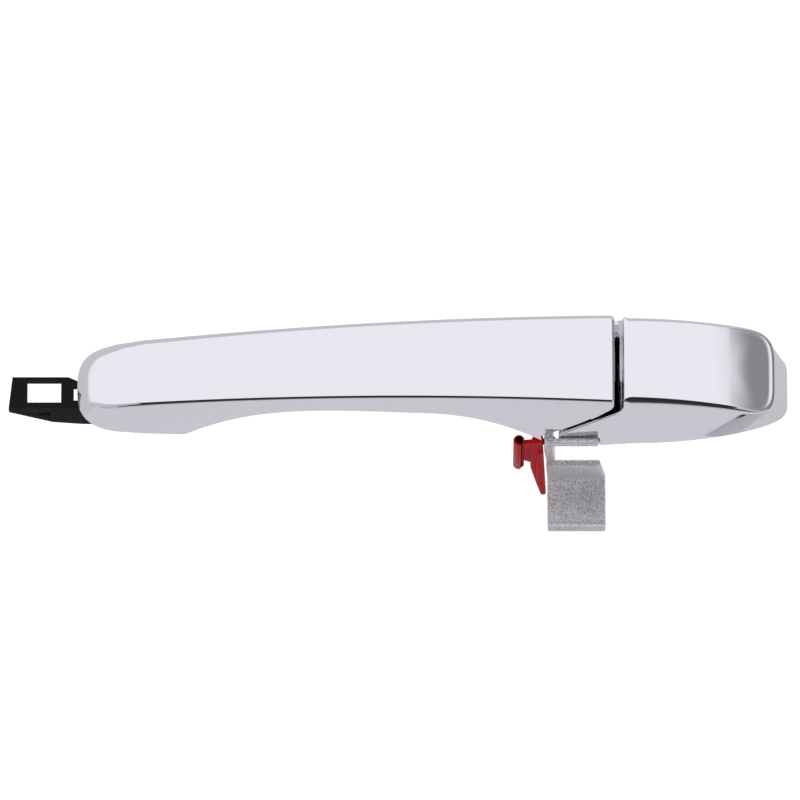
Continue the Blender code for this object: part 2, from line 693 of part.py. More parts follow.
def make_pivot_foot():
    """Nylon foot: a windowed wall that hooks behind the door skin, a flange under it, and a tang in the nose."""
    wall = [
        (FOOT_TIP, -FOOT_HALF),
        (FOOT_TIP + TIP_RAKE, FOOT_HALF),
        (SLOT_X - NECK_DROP, FOOT_HALF),
        (SLOT_X + SLOT_WIDTH, FOOT_HALF - NECK_DROP),
        (RISER_END, FOOT_HALF - NECK_DROP),
        (RISER_END, -FOOT_HALF),
    ]
    flange = [
        (FOOT_TIP + 0.2 * MM, FOOT_STANDOFF + MM),
        (FOOT_TIP + 0.2 * MM, FOOT_STANDOFF + 0.25 * FOOT_DEPTH),
        (WINDOW_X + 9 * MM, FOOT_DEPTH - 2 * MM),
        (SLOT_X + 3 * MM, FOOT_DEPTH),
        (RISER_END - MM, FOOT_DEPTH),
        (RISER_END - MM, FOOT_STANDOFF + MM),
    ]
    foot = add_part(
        "pivot_foot",
        prism_mesh("pivot_foot", wall, "Y", FOOT_STANDOFF, FOOT_BACK),
        BLACK_NYLON,
        GRIP_PIVOT,
    )
    pieces = [
        prism_mesh("foot_flange", flange, "Z", 0.3 * MM - FOOT_HALF, FLANGE_THICKNESS - FOOT_HALF),
        box_mesh(
            "foot_riser",
            (RISER_X, TANG_TOP, 0.6 * MM - FOOT_HALF),
            (RISER_END - 0.5 * MM, FOOT_BACK - 0.5 * MM, FOOT_HALF - 2.4 * MM),
        ),
        box_mesh(
            "foot_tang",
            (TANG_X, TANG_TOP, -TANG_HALF),
            (TANG_X + TANG_LENGTH, -TANG_RECESS, TANG_HALF),
        ),
    ]
    join(foot, *[add_cutter(mesh.name, mesh) for mesh in pieces])
    windows = [
        box_mesh(
            "foot_window",
            (WINDOW_X, -THROUGH, WINDOW_SILL - FOOT_HALF),
            (WINDOW_X + WINDOW_LENGTH, FOOT_BACK + THROUGH, WINDOW_HALF),
        ),
        box_mesh(
            "foot_slot",
            (SLOT_X, FOOT_STANDOFF - THROUGH, WINDOW_SILL + SLOT_DROP - FOOT_HALF),
            (SLOT_X + SLOT_WIDTH, FOOT_BACK + THROUGH, WINDOW_HALF - NECK_DROP - SLOT_DROP / 4),
        ),
        box_mesh(
            "foot_flange_notch",
            (WINDOW_X + 4 * MM, FOOT_BACK + MM, -FOOT_HALF - THROUGH),
            (WINDOW_X + 4 * MM + FLANGE_NOTCH, FOOT_BACK + 4 * MM, -FOOT_HALF + THROUGH),
        ),
    ]
    cut(foot, *[add_cutter(mesh.name, mesh) for mesh in windows])
    for i, x in enumerate(FOOT_SCREW_X, 1):
        seat = (x, FOOT_SCREW_SEAT_Y, 0.0)
        add_screw(f"foot_screw_{i}", seat, "Y", FOOT_SCREW_LENGTH, GRIP_PIVOT)
        cut(
            foot,
            shank_hole(f"tang_hole_{i}", seat, "Y", 2 * TANG_THICKNESS),
            head_pocket(f"tang_pocket_{i}", seat, "Y"),
        )
    return foot


# ---- the hook and its clip -----------------------------------------------------------------------------
SHELF_BOTTOM = SHELF_TOP + STEEL
TAB_FRONT = SHELF_FRONT + SHELF_LENGTH
TAB_BOTTOM = SHELF_BOTTOM + TAB_HEIGHT
TAB_BACK = TAB_FRONT + STEEL
LIP_BOTTOM = TAB_BOTTOM + LIP_RADIUS
LIP_END = TAB_FRONT + LIP_RADIUS + LIP_LENGTH
FINGER_BACK = -FINGER_FRONT + STEEL
WEB_HALF = float(hollow_half(WEB_X, -WEB_HEAD_SLOPE_END)) - CLEAR  # how far down the web reaches in the grip
FINGER_BOTTOM = FINGER_TOP + FINGER_HEIGHT


def lean_web(mesh):
    """Leans what lies inside the door sideways, from a fold across the web."""
    bm = bmesh.new()
    bm.from_mesh(mesh)
    fold = (0.0, WEB_LEAN_START, 0.0)
    bmesh.ops.bisect_plane(bm, geom=[*bm.verts, *bm.edges, *bm.faces], plane_co=fold, plane_no=(0, 1, 0))
    for vert in bm.verts:
        vert.co.x += WEB_LEAN * max(0.0, vert.co.y - WEB_LEAN_START)
    bm.to_mesh(mesh)
    bm.free()
    return mesh


def make_pull_hook():
    """Zinc-plated steel: an ear screwed to the core, a web through the door skin, a finger and a hooked tab."""
    web = [
        (EAR_FRONT, -WEB_TOP),
        (EAR_FRONT, -WEB_HEAD),
        (-WEB_HEAD_SLOPE_END, -WEB_HALF),
        (CLEAR - HEEL_HEIGHT, -WEB_HALF),
        (CLEAR - HEEL_HEIGHT, -FINGER_TOP),
        (-FINGER_FRONT, -FINGER_TOP),
        (-FINGER_FRONT, -FINGER_BOTTOM),
        (FINGER_BACK, -FINGER_BOTTOM),
        (SHELF_FRONT, -SHELF_TOP),
        (SHELF_FRONT, -SHELF_BOTTOM),
        (TAB_FRONT, -SHELF_BOTTOM),
        (TAB_FRONT, -TAB_BOTTOM),
        (TAB_FRONT + LIP_RADIUS, -LIP_BOTTOM),
        (LIP_END, -LIP_BOTTOM),
        (LIP_END + 3.4 * MM, -SHELF_TOP),
        (TAB_BACK + 2.4 * MM, -2 * WEB_TOP),
        (0.0, -WEB_TOP),
    ]
    strip = [
        (SHELF_FRONT, -SHELF_TOP),
        (SHELF_FRONT, -SHELF_BOTTOM),
        (TAB_FRONT, -SHELF_BOTTOM),
        (TAB_FRONT, -TAB_BOTTOM),
        (TAB_FRONT + LIP_RADIUS, -LIP_BOTTOM),
        (LIP_END, -LIP_BOTTOM),
        (LIP_END, STEEL - LIP_BOTTOM),
        (TAB_BACK, STEEL - LIP_BOTTOM),
        (TAB_BACK, -SHELF_TOP),
    ]
    ear_low, ear_high = (WEB_X, EAR_FRONT, -EAR_HALF), (EAR_END, -EAR_DEPTH, EAR_HALF)
    finger_low = (WEB_X, -FINGER_FRONT, -FINGER_BOTTOM)
    finger_high = (WEB_X + FINGER_LENGTH, FINGER_BACK, -FINGER_TOP)
    right = [WEB_X + HOOK_WIDTH_FRONT if y < SHELF_FRONT + MM else WEB_X + HOOK_WIDTH_REAR for y, _ in strip]
    left_ring = [(WEB_X, y, z) for y, z in strip]
    right_ring = [(x, y, z) for x, (y, z) in zip(right, strip)]
    hook = add_part(
        "pull_hook", prism_mesh("pull_hook", web, "X", WEB_X, WEB_X + STEEL), ZINC_STEEL, GRIP_PIVOT
    )
    lean_web(hook.data)
    pieces = [
        box_mesh("hook_ear", ear_low, ear_high),
        box_mesh("hook_finger", finger_low, finger_high),
        lean_web(loft_mesh("hook_strip", [left_ring, right_ring])),
    ]
    join(hook, *[add_cutter(mesh.name, mesh) for mesh in pieces])
    for i, z in enumerate(HOOK_SCREW_Z, 1):
        seat = (HOOK_SCREW_X, -EAR_DEPTH, z)
        add_screw(f"hook_screw_{i}", (seat[0], seat[1] + 0.3 * MM, z), "Y", HOOK_SCREW_LENGTH, GRIP_PIVOT)
        cut(hook, shank_hole(f"ear_hole_{i}", seat, "Y", 2 * STEEL))
    peg_hole = rod_mesh(
        "peg_hole",
        (WEB_X - THROUGH, CLIP_PEG_DEPTH, -CLIP_PEG_LEVEL),
        "X",
        STEEL + 2 * THROUGH,
        CLIP_PEG_RADIUS + CLEAR,
    )
    return cut(hook, add_cutter("peg_hole", peg_hole))


CLIP_PEG_LEVEL = CLIP_LEVEL - CLIP_BRIDGE_DROP
CLIP_LEG_X = WEB_X - CLEAR - CLIP_LEG_WIDTH
CLIP_BARREL_X = CLIP_LEG_X - 4.7 * MM


def make_hook_clip():
    """Red acetal transit clip: a leg along the web, pegged through it, with a spring barrel beside it."""
    low, high = CLIP_LEVEL + 0.5 * CLIP_LEG_HEIGHT, CLIP_PEG_LEVEL - CLIP_PEG_RADIUS - 0.5 * MM
    end = CLIP_FRONT + CLIP_LEG_LENGTH
    lean = WEB_LEAN * (end - WEB_LEAN_START)
    leg = [
        (CLIP_LEG_X, CLIP_FRONT),
        (WEB_X - CLEAR, CLIP_FRONT),
        (WEB_X - CLEAR, WEB_LEAN_START),
        (WEB_X - CLEAR + lean, end),
        (WEB_X - CLEAR + lean - 0.5 * CLIP_LEG_WIDTH, end),
        (CLIP_LEG_X, 0.5 * end),
    ]
    clip = add_part("hook_clip", prism_mesh("hook_clip", leg, "Z", -low, -high), RED_ACETAL, GRIP_PIVOT)
    barrel_start = (CLIP_BARREL_X, CLIP_FRONT, -CLIP_LEVEL)
    peg_start = (WEB_X - 2 * MM, CLIP_PEG_DEPTH, -CLIP_PEG_LEVEL)
    head_start = (WEB_X + STEEL + 0.3 * MM, CLIP_PEG_DEPTH, -CLIP_PEG_LEVEL)
    pieces = [
        rod_mesh("clip_barrel", barrel_start, "Y", CLIP_BARREL_LENGTH, CLIP_BARREL_RADIUS),
        box_mesh(
            "clip_bridge",
            (CLIP_BARREL_X, CLIP_FRONT + 2 * MM, -CLIP_LEVEL - 0.9 * MM),
            (CLIP_LEG_X + 2 * MM, CLIP_FRONT + CLIP_BARREL_LENGTH - 4 * MM, -CLIP_LEVEL + MM),
        ),
        rod_mesh("clip_peg", peg_start, "X", STEEL + 2.7 * MM, CLIP_PEG_RADIUS, 16),
        rod_mesh("clip_peg_head", head_start, "X", 0.8 * MM, CLIP_HEAD_RADIUS, 16),
    ]
    join(clip, *[add_cutter(mesh.name, mesh) for mesh in pieces])
    bore = rod_mesh(
        "clip_bore",
        (CLIP_BARREL_X, CLIP_FRONT - THROUGH, -CLIP_LEVEL),
        "Y",
        CLIP_BARREL_LENGTH + 2 * THROUGH,
        CLIP_BARREL_BORE,
        16,
    )
    return cut(clip, add_cutter("clip_bore", bore))


# ---- the cap -------------------------------------------------------------------------------------------
CAP_SHOULDER_CREASE = 14.6 * MM
CAP_SHOULDER_BASE = -20.0 * MM
CAP_CREASE = Plan(
    TOE_X, CAP_SHOULDER_CREASE, CAP_TAIL - CAP_CREASE_SETBACK, CAP_HALF_FACE, CAP_HALF_FACE, 4.5
)
CAP_BASE = Plan(
    TOE_X, CAP_SHOULDER_BASE, CAP_TAIL, CAP_HALF_BASE, CAP_HALF_BASE - CAP_TOE_TAPER, 8.0, CAP_TAIL_TAPER
)
CAP_STRAIGHT = np.linspace(0, 1, 9)
CAP_EDGE = 1.6 * MM
FAR = 70 * MM


def cap_face(x):
    """Y of the middle of the cap's face, an arc that falls back towards the tail."""
    return -CAP_DEPTH + (x - CAP_FRONT) ** 2 / (2 * CAP_FACE_RADIUS)


def cap_back(x):
    return 0.0 * x


def cap_parting_outline(offset):
    """X and Y of what is cut off the front of the cap: below the slanting line, round a corner, up the front.

    With an offset the outline moves into the cap by that much, square to both of its straight sides.
    """
    slant = atan(PARTING_SLOPE)
    turn = pi / 2 - slant
    shift_y = offset * tan(turn / 2)
    corner_y = -HEEL_HEIGHT + CAP_SLOPE_GAP * PARTING_SLOPE - PARTING_SLOPE * (CAP_FRONT - HEEL_X) + shift_y
    arc_y = corner_y - CAP_CORNER_RADIUS * tan(turn / 2)
    centre_x = CAP_FRONT + offset - CAP_CORNER_RADIUS
    arc = [
        (centre_x + CAP_CORNER_RADIUS * cos(a), arc_y + CAP_CORNER_RADIUS * sin(a))
        for a in np.linspace(0, turn, 6)
    ]
    toe_x = TOE_X - 4 * MM
    toe_y = arc[-1][1] + PARTING_SLOPE * (arc[-1][0] - toe_x)
    return [(toe_x, -FAR), (CAP_FRONT + offset, -FAR), *arc, (toe_x, toe_y)]


COVER_SCREW_X = (-14 * MM, 8 * MM)
COVER_SCREW_SEAT_Y = -0.3 * MM - HEAD_HEIGHT


def make_cap_cover():
    """Plated cap, hollow, with a slanting front that follows the grip and two bosses for its screws."""
    cover = add_part(
        "cap_cover",
        blank_mesh("cap_cover", CAP_CREASE, CAP_BASE, CAP_STRAIGHT, cap_face, cap_back, CAP_EDGE),
        CHROME,
        CAP_ROOT,
    )
    front = prism_mesh("cap_front_cut", cap_parting_outline(0.0), "Z", -FAR, FAR)
    cut(cover, add_cutter("cap_front_cut", front))
    hollow = blank_mesh(
        "cap_hollow",
        CAP_CREASE.inset(WALL, WALL),
        CAP_BASE.inset(WALL, WALL),
        CAP_STRAIGHT,
        cap_face,
        cap_back,
        HOLLOW_EDGE,
        WALL,
        HOLLOW_OVERRUN,
    )
    hollow = add_cutter("cap_hollow", hollow)
    inner_front = prism_mesh("cap_hollow_front", cap_parting_outline(WALL), "Z", -FAR, FAR)
    cut(hollow, add_cutter("cap_hollow_front", inner_front))
    cut(cover, hollow)
    for i, x in enumerate(COVER_SCREW_X, 1):
        start = (x, -CARRIER_THICKNESS - CLEAR, 0.0)
        length = float(cap_face(x)) + 0.5 * WALL - start[1]
        boss = rod_mesh(f"cap_boss_{i}", start, "Y", length, BOSS_RADIUS, 24)
        join(cover, add_cutter(f"cap_boss_{i}", boss))
        seat = (x, COVER_SCREW_SEAT_Y, 0.0)
        cut(cover, shank_hole(f"cap_boss_hole_{i}", seat, "Y", COVER_SCREW_LENGTH + CLEAR))
    relief = box_mesh(
        "finger_relief",
        (TOE_X - THROUGH, -FINGER_FRONT - CLEAR, -FAR),
        (WEB_X + FINGER_LENGTH + CLEAR, THROUGH, CLEAR - FINGER_TOP),
    )
    return cut(cover, add_cutter("finger_relief", relief))


GASKET_DRAFT = 1.0 * MM
GASKET_RIM = CAP_BASE.inset(WALL + CLEAR + GASKET_DRAFT, WALL + CLEAR + GASKET_DRAFT)
CARRIER_RIM = GASKET_RIM.inset(GASKET_WIDTH + CLEAR, GASKET_WIDTH + CLEAR)


def make_cap_gasket():
    """Rubber ring inside the rim of the cap, against the door skin."""
    inner = GASKET_RIM.inset(GASKET_WIDTH, GASKET_WIDTH)
    mesh = ring_mesh("cap_gasket", GASKET_RIM, inner, -GASKET_THICKNESS, 0.0)
    return add_part("cap_gasket", mesh, RUBBER, CAP_ROOT)


LUG_END = LUG_START + LUG_LENGTH


def make_cap_carrier():
    """Nylon plate that closes the cap, with a lug through the door skin for the screw in the door's edge."""
    x, z = CARRIER_RIM.loop(np.array([0.0, 1.0]))
    outline = list(zip(x, z))
    plate = prism_mesh("cap_carrier", outline, "Y", -CARRIER_THICKNESS, 0.0)
    carrier = add_part("cap_carrier", plate, BLACK_NYLON, CAP_ROOT)
    lug = box_mesh(
        "carrier_lug",
        (LUG_START, -0.5 * CARRIER_THICKNESS, -LUG_HALF),
        (LUG_END, LUG_DEPTH, LUG_HALF),
    )
    join(carrier, add_cutter("carrier_lug", lug))
    for i, px in enumerate(COVER_SCREW_X, 1):
        seat = (px, COVER_SCREW_SEAT_Y, 0.0)
        add_screw(f"cover_screw_{i}", seat, "Y", COVER_SCREW_LENGTH, CAP_ROOT)
        cut(
            carrier,
            shank_hole(f"carrier_hole_{i}", seat, "Y", 2 * CARRIER_THICKNESS),
            head_pocket(f"carrier_pocket_{i}", seat, "Y"),
        )
    seat = (LUG_END + 0.3 * MM, LUG_HOLE_DEPTH, 0.0)
    add_screw("cap_screw", seat, "X", CAP_SCREW_LENGTH, CAP_ROOT)
    return cut(carrier, shank_hole("lug_hole", seat, "X", LUG_LENGTH + THROUGH))


def make_cap_screw_clip():
    """Sheet steel nut on the inner side of the lug, which the cap screw pulls against."""
    x = LUG_START - CLEAR
    nut = box_mesh(
        "cap_screw_clip",
        (x - NUT_THICKNESS, LUG_HOLE_DEPTH - NUT_HALF, -NUT_HALF),
        (x, LUG_HOLE_DEPTH + NUT_HALF, NUT_HALF),
    )
    clip = add_part("cap_screw_clip", nut, ZINC_STEEL, CAP_ROOT)
    hub_start = (x - 0.5 * NUT_THICKNESS, LUG_HOLE_DEPTH, 0.0)
    hub = rod_mesh("nut_hub", hub_start, "X", -2.2 * MM, SCREW_RADIUS + 1.2 * MM)
    join(clip, add_cutter("nut_hub", hub))
    seat = (x, LUG_HOLE_DEPTH, 0.0)
    return cut(clip, shank_hole("nut_hole", seat, "X", THROUGH))


make_grip_outer_shell()
make_grip_back_shell()
make_grip_core()
make_heel_bumper()
make_nose_pad()
make_pivot_foot()
make_pull_hook()
make_hook_clip()
make_cap_cover()
make_cap_gasket()
make_cap_carrier()
make_cap_screw_clip()
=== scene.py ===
"""Car door handle: a chromed strap grip on a nylon foot, its steel pull hook, and the chromed cap behind.

X runs along the door to the cap's tail, -Y points out of the door and Z is up. Lengths below are in metres.
"""
from math import atan, pi, tan

import bmesh
import bpy
import numpy as np
from mathutils import Matrix


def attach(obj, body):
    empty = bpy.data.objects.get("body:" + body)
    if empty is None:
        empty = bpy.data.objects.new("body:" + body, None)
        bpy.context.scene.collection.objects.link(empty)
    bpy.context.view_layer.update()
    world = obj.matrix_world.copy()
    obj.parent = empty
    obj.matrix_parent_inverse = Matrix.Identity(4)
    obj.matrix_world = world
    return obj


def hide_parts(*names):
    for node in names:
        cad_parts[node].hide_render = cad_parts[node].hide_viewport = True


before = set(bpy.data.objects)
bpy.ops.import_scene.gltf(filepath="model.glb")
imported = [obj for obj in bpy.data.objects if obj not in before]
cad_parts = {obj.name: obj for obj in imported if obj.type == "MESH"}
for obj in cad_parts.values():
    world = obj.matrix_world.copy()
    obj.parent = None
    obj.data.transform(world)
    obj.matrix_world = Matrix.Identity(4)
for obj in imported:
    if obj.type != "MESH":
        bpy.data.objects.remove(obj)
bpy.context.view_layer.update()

MM = 0.001

# ---- studio --------------------------------------------------------------------------------------------
# A white room. One broad softbox hangs in front, with a wing at its left and dark boards at its right.
# Below it stand a dark screen and its apron, and a white sheet and a dark card lie low behind. The handle
# hangs in the air as on a wire, high over a pale floor, and the camera looks up at it from the front.


def linear(code):
    """sRGB hex to linear light: codes up to 0.04045 divided by 12.92, the rest by the 2.4 power curve."""
    share = np.array([int(code[i:i + 2], 16) for i in (0, 2, 4)]) / 255
    curve = np.where(share <= 0.04045, share / 12.92, ((share + 0.055) / 1.055) ** 2.4)
    return (*(float(c) for c in curve), 1.0)


def add_node(tree, kind, inputs=(), **settings):
    """Adds one node: settings are its own properties, inputs pairs of a socket and its value or source."""
    node = tree.nodes.new(kind)
    for key, value in settings.items():
        setattr(node, key, value)
    for socket, value in inputs:
        if isinstance(value, bpy.types.NodeSocket):
            tree.links.new(value, node.inputs[socket])
        else:
            node.inputs[socket].default_value = value
    return node


def blank_material(name):
    """A new material with an empty node tree."""
    material = bpy.data.materials.new(name)
    material.use_nodes = True
    material.node_tree.nodes.clear()
    return material


def link_object(name, mesh, material):
    obj = bpy.data.objects.new(name, mesh)
    mesh.materials.append(material)
    bpy.context.scene.collection.objects.link(obj)
    return obj


def add_noise(tree, scale, *settings):
    """Noise on Object coordinates, which stay with the piece; settings are pairs for further sockets."""
    place = add_node(tree, "ShaderNodeTexCoord")
    pairs = [("Vector", place.outputs["Object"]), ("Scale", scale), *settings]
    return add_node(tree, "ShaderNodeTexNoise", pairs).outputs[0]


def add_range(tree, source, low, high, start, end, **settings):
    """Takes a source that runs from low to high and makes it run from start to end."""
    pairs = [(0, source), (1, low), (2, high), (3, start), (4, end)]
    return add_node(tree, "ShaderNodeMapRange", pairs, **settings).outputs[0]


def add_blend(tree, share, first, second, **settings):
    """A mix of two colours by a share."""
    pairs = [(0, share), (6, first), (7, second)]
    return add_node(tree, "ShaderNodeMix", pairs, data_type="RGBA", **settings).outputs[2]


def close_material(material, colour, rough, relief, *settings):
    """Ends a material with its shader and output; relief is a bump's strength, its depth and its height."""
    tree = material.node_tree
    strength, depth, height = relief
    bump = add_node(
        tree, "ShaderNodeBump", [("Strength", strength), ("Distance", depth), ("Height", height)]
    )
    pairs = [("Base Color", colour), ("Roughness", rough), ("Normal", bump.outputs[0]), *settings]
    shader = add_node(tree, "ShaderNodeBsdfPrincipled", pairs)
    add_node(tree, "ShaderNodeOutputMaterial", [("Surface", shader.outputs[0])])
    return material


def glowing_cloth(name, colour, strength, fade=0.0, least=0.0):
    """A softbox's diffuser: even light, which falls to its least over the last share of its width."""
    material = blank_material(name)
    tree = material.node_tree
    level = strength
    if fade:
        place = add_node(tree, "ShaderNodeUVMap", uv_map="across")
        split = add_node(tree, "ShaderNodeSeparateXYZ", [(0, place.outputs[0])])
        level = add_range(
            tree, split.outputs[0], 1 - fade, 1.0, strength, least, interpolation_type="SMOOTHSTEP"
        )
    glow = add_node(tree, "ShaderNodeEmission", [("Color", linear(colour)), ("Strength", level)])
    add_node(tree, "ShaderNodeOutputMaterial", [("Surface", glow.outputs[0])])
    return material


def matt_card(name, colour):
    """Dull painted floor, with a faint mottle so that it isn't dead flat."""
    material = blank_material(name)
    tree = material.node_tree
    tone = add_range(tree, add_noise(tree, 3.0), 0.3, 0.7, 0.97, 1.0)
    tint = add_blend(tree, 1.0, linear(colour), tone, blend_type="MULTIPLY")
    shader = add_node(tree, "ShaderNodeBsdfDiffuse", [("Color", tint)])
    add_node(tree, "ShaderNodeOutputMaterial", [("Surface", shader.outputs[0])])
    return material


def upright(first, second, low, high):
    """Corners of an upright sheet over the line from the first point of the plan to the second."""
    return [(*first, low), (*second, low), (*second, high), (*first, high)]


def lying(x, y, z):
    """Corners of a level sheet over two ranges."""
    return [(x[0], y[0], z), (x[1], y[0], z), (x[1], y[1], z), (x[0], y[1], z)]


def add_screen(name, corners, material, seen=False):
    """A flat sheet of the studio; its UV map runs from 0 at the first corner to 1 at the second."""
    mesh = bpy.data.meshes.new(name)
    mesh.from_pydata(corners, [], [(0, 1, 2, 3)])
    layer = mesh.uv_layers.new(name="across")
    layer.uv.foreach_set("vector", np.array([0, 0, 1, 0, 1, 1, 0, 1], np.float32))
    screen = link_object(name, mesh, material)
    screen.visible_camera = seen


def add_lamp(name, width, depth, energy, location, tilt):
    """A soft lamp for the matt surfaces: neither the camera nor the chrome sees it."""
    lamp = bpy.data.objects.new(name, bpy.data.lights.new(name, "AREA"))
    lamp.data.shape = "RECTANGLE"
    lamp.data.size, lamp.data.size_y = width, depth
    lamp.data.energy = energy
    lamp.location = location
    lamp.rotation_euler = (np.radians(tilt), 0.0, 0.0)
    lamp.visible_camera = lamp.visible_glossy = False
    bpy.context.scene.collection.objects.link(lamp)


scene = bpy.context.scene
scene.view_settings.view_transform = "Standard"

AIM = np.array([-105.8, -15.0, -10.4]) * MM
TILT = np.radians(22.0)
DISTANCE = 5.0
camera = bpy.data.objects.new("camera", bpy.data.cameras.new("camera"))
camera.data.lens = 616.0
camera.data.sensor_width = 36.0
camera.data.clip_start = 0.01
camera.rotation_euler = (pi / 2 + TILT, 0.0, 0.0)
camera.location = AIM - DISTANCE * np.array([0.0, np.cos(TILT), np.sin(TILT)])
scene.collection.objects.link(camera)
scene.camera = camera

world = bpy.data.worlds.new("white_room")
world.use_nodes = True
world.node_tree.nodes.clear()
room = world.node_tree
ray = add_node(room, "ShaderNodeLightPath")
paper = add_node(room, "ShaderNodeBackground", [("Color", linear("FFFFFF")), ("Strength", 1.1)])
walls = add_node(room, "ShaderNodeBackground", [("Color", linear("F4F3F8")), ("Strength", 0.72)])
both = add_node(
    room, "ShaderNodeMixShader",
    [(0, ray.outputs["Is Camera Ray"]), (1, walls.outputs[0]), (2, paper.outputs[0])],
)
add_node(room, "ShaderNodeOutputWorld", [("Surface", both.outputs[0])])
scene.world = world

FRONT_Y = -1.5  # the plane of the softbox and the dark screen
SHEET_Z = -1.1  # the level of the apron, the sheet and the card
TOP_Z = 2.4
FLOOR_Z = -2.1
add_screen("floor", lying((-6, 6), (-6, 6), FLOOR_Z), matt_card("floor_paint", "E8E7EA"), seen=True)
add_screen(
    "front_softbox", upright((-2.9, FRONT_Y), (2.2, FRONT_Y), 0.10, TOP_Z),
    glowing_cloth("front_diffuser", "FCFAFF", 1.06, fade=0.23, least=0.33),
)
add_screen(
    "wing_softbox", upright((-2.9, FRONT_Y), (-3.0, 0.3), 0.10, TOP_Z),
    glowing_cloth("wing_diffuser", "FCFAFF", 1.06, fade=0.40, least=0.90),
)
add_screen(
    "side_card", upright((2.2, FRONT_Y), (3.2, -0.6), -0.2, TOP_Z),
    glowing_cloth("grey_side_card", "F4F3FA", 0.33),
)
add_screen(
    "side_board", upright((3.2, -0.6), (3.2, 0.5), -0.4, TOP_Z),
    glowing_cloth("dark_side_board", "F0EFF6", 0.12),
)
add_screen(
    "dark_screen", upright((-1.2, FRONT_Y), (1.5, FRONT_Y), SHEET_Z, 0.02),
    glowing_cloth("dark_flannel", "F0EFF6", 0.03),
)
add_screen(
    "dark_apron", lying((-1.2, 1.5), (FRONT_Y, -0.25), SHEET_Z),
    glowing_cloth("dark_felt", "F0EFF6", 0.05),
)
add_screen(
    "bounce_sheet", lying((-4.0, 4.0), (0.15, 1.7), SHEET_Z),
    glowing_cloth("white_sheet", "F8F6FC", 0.76),
)
add_screen(
    "low_back_card", lying((-0.5, 0.25), (1.75, 4.0), SHEET_Z),
    glowing_cloth("dark_board", "C8D0E0", 0.03),
)
add_lamp("top_softbox", 3.0, 1.6, 12.0, (-0.1, 0.25, 1.5), 0.0)
# A low fill in front brings out the frosted zinc and the red clip.
add_lamp("fill_lamp", 0.8, 0.8, 10.0, (-0.05, -1.2, -0.6), 63.0)


# ---- outer shell of the grip ---------------------------------------------------------------------------
# The strap that the hand sees: one injection moulding of ABS, copper, nickel and chromium plated all over.
# Its face is swept back towards the nose and crowned a little, a crease runs round it, and the flanks flare
# out to the door. It is hollow from behind, and its rear end is cut on a slant that clears the cap.


def put_surface(name, points, material, ends=(), sharp=35.0):
    """Quads over a grid of points, rows by columns by three; ends are more faces, as lists of indices.

    Points that fall together are merged, and the faces are turned outwards by the sign of the volume.
    """
    rows, columns = points.shape[:2]
    index = np.arange(rows * columns).reshape(rows, columns)
    quads = np.stack([index[:-1, :-1], index[:-1, 1:], index[1:, 1:], index[1:, :-1]], -1).reshape(-1, 4)
    mesh = bpy.data.meshes.new(name)
    mesh.from_pydata(points.reshape(-1, 3), [], [*quads.tolist(), *[list(end) for end in ends]])
    bm = bmesh.new()
    bm.from_mesh(mesh)
    bmesh.ops.remove_doubles(bm, verts=bm.verts, dist=2e-6)
    bmesh.ops.dissolve_degenerate(bm, edges=bm.edges, dist=1e-7)
    bmesh.ops.triangulate(bm, faces=[face for face in bm.faces if len(face.verts) > 4])
    bmesh.ops.recalc_face_normals(bm, faces=bm.faces)
    if bm.calc_volume(signed=True) < 0:
        bmesh.ops.reverse_faces(bm, faces=bm.faces)
    bm.to_mesh(mesh)
    bm.free()
    mesh.shade_smooth()
    mesh.set_sharp_from_angle(angle=np.radians(sharp))
    return link_object(name, mesh, material)


def superellipse(shoulder, tip, half, power, count):
    """A quarter of a superellipse from (shoulder, half) to (tip, 0), in steps of equal length.

    |x|^power + |z|^power = 1, scaled to the run and the half height, with the angle resampled by length.
    """
    angle = np.linspace(pi / 2, 0, 4000)
    x = shoulder + (tip - shoulder) * np.cos(angle) ** (2 / power)
    z = half * np.sin(angle) ** (2 / power)
    length = np.concatenate([[0], np.cumsum(np.hypot(np.diff(x), np.diff(z)))])
    share = np.linspace(0, length[-1], count)
    return np.interp(share, length, x), np.interp(share, length, z)


def bend(start, corner, end, share):
    """Quadratic curve from start to end, tangent to the two straight lines that meet at the corner."""
    return start * (1 - share) ** 2 + corner * 2 * share * (1 - share) + end * share**2


def chrome_on_abs(name):
    """Bright chromium plate on moulded ABS: near-mirror, faintly cool, with a trace of mould ripple."""
    material = blank_material(name)
    tree = material.node_tree
    # Mould ripple about 18 mm long under the plate bends a reflected edge very slightly.
    ripple = add_noise(tree, 55.0, ("Detail", 1.0))
    # Polishing haze: hairlines too fine to show are drawn as a patchy roughness, 4 mm across.
    haze = add_noise(tree, 240.0, ("Detail", 4.0))
    rough = add_range(tree, haze, 0.35, 0.75, 0.035, 0.075)
    return close_material(
        material, (0.800, 0.785, 0.825, 1.0), rough, (0.05, 0.00025, ripple), ("Metallic", 1.0)
    )


CHROME = chrome_on_abs("bright_chrome_plate")

WALL = 2.5 * MM
GRIP_END = -27.4 * MM
GRIP_TIP = -224.5 * MM
NOSE_SHOULDER = -200.0 * MM
NOSE_FLAT_END = -184.5 * MM
HEEL_X = -54.2 * MM
HOLLOW_END = -36.0 * MM
LIP_RADIUS = 1.6 * MM
CREASE_RADIUS = 0.85 * MM
TOP_RADIUS = 2.4 * MM
FACE_Y = -30.5 * MM
HEEL_Y = -5.4 * MM
SLANT = 0.62
BOW = 18.5 * MM
FLANK_BULGE = 0.35 * MM
RIM_DOME = 0.6 * MM
GRIP_HALF_REAR = 16.9 * MM
GRIP_HALF_NOSE = 12.3 * MM
FLARE = 5.6 * MM
CROWN = 0.5 * MM


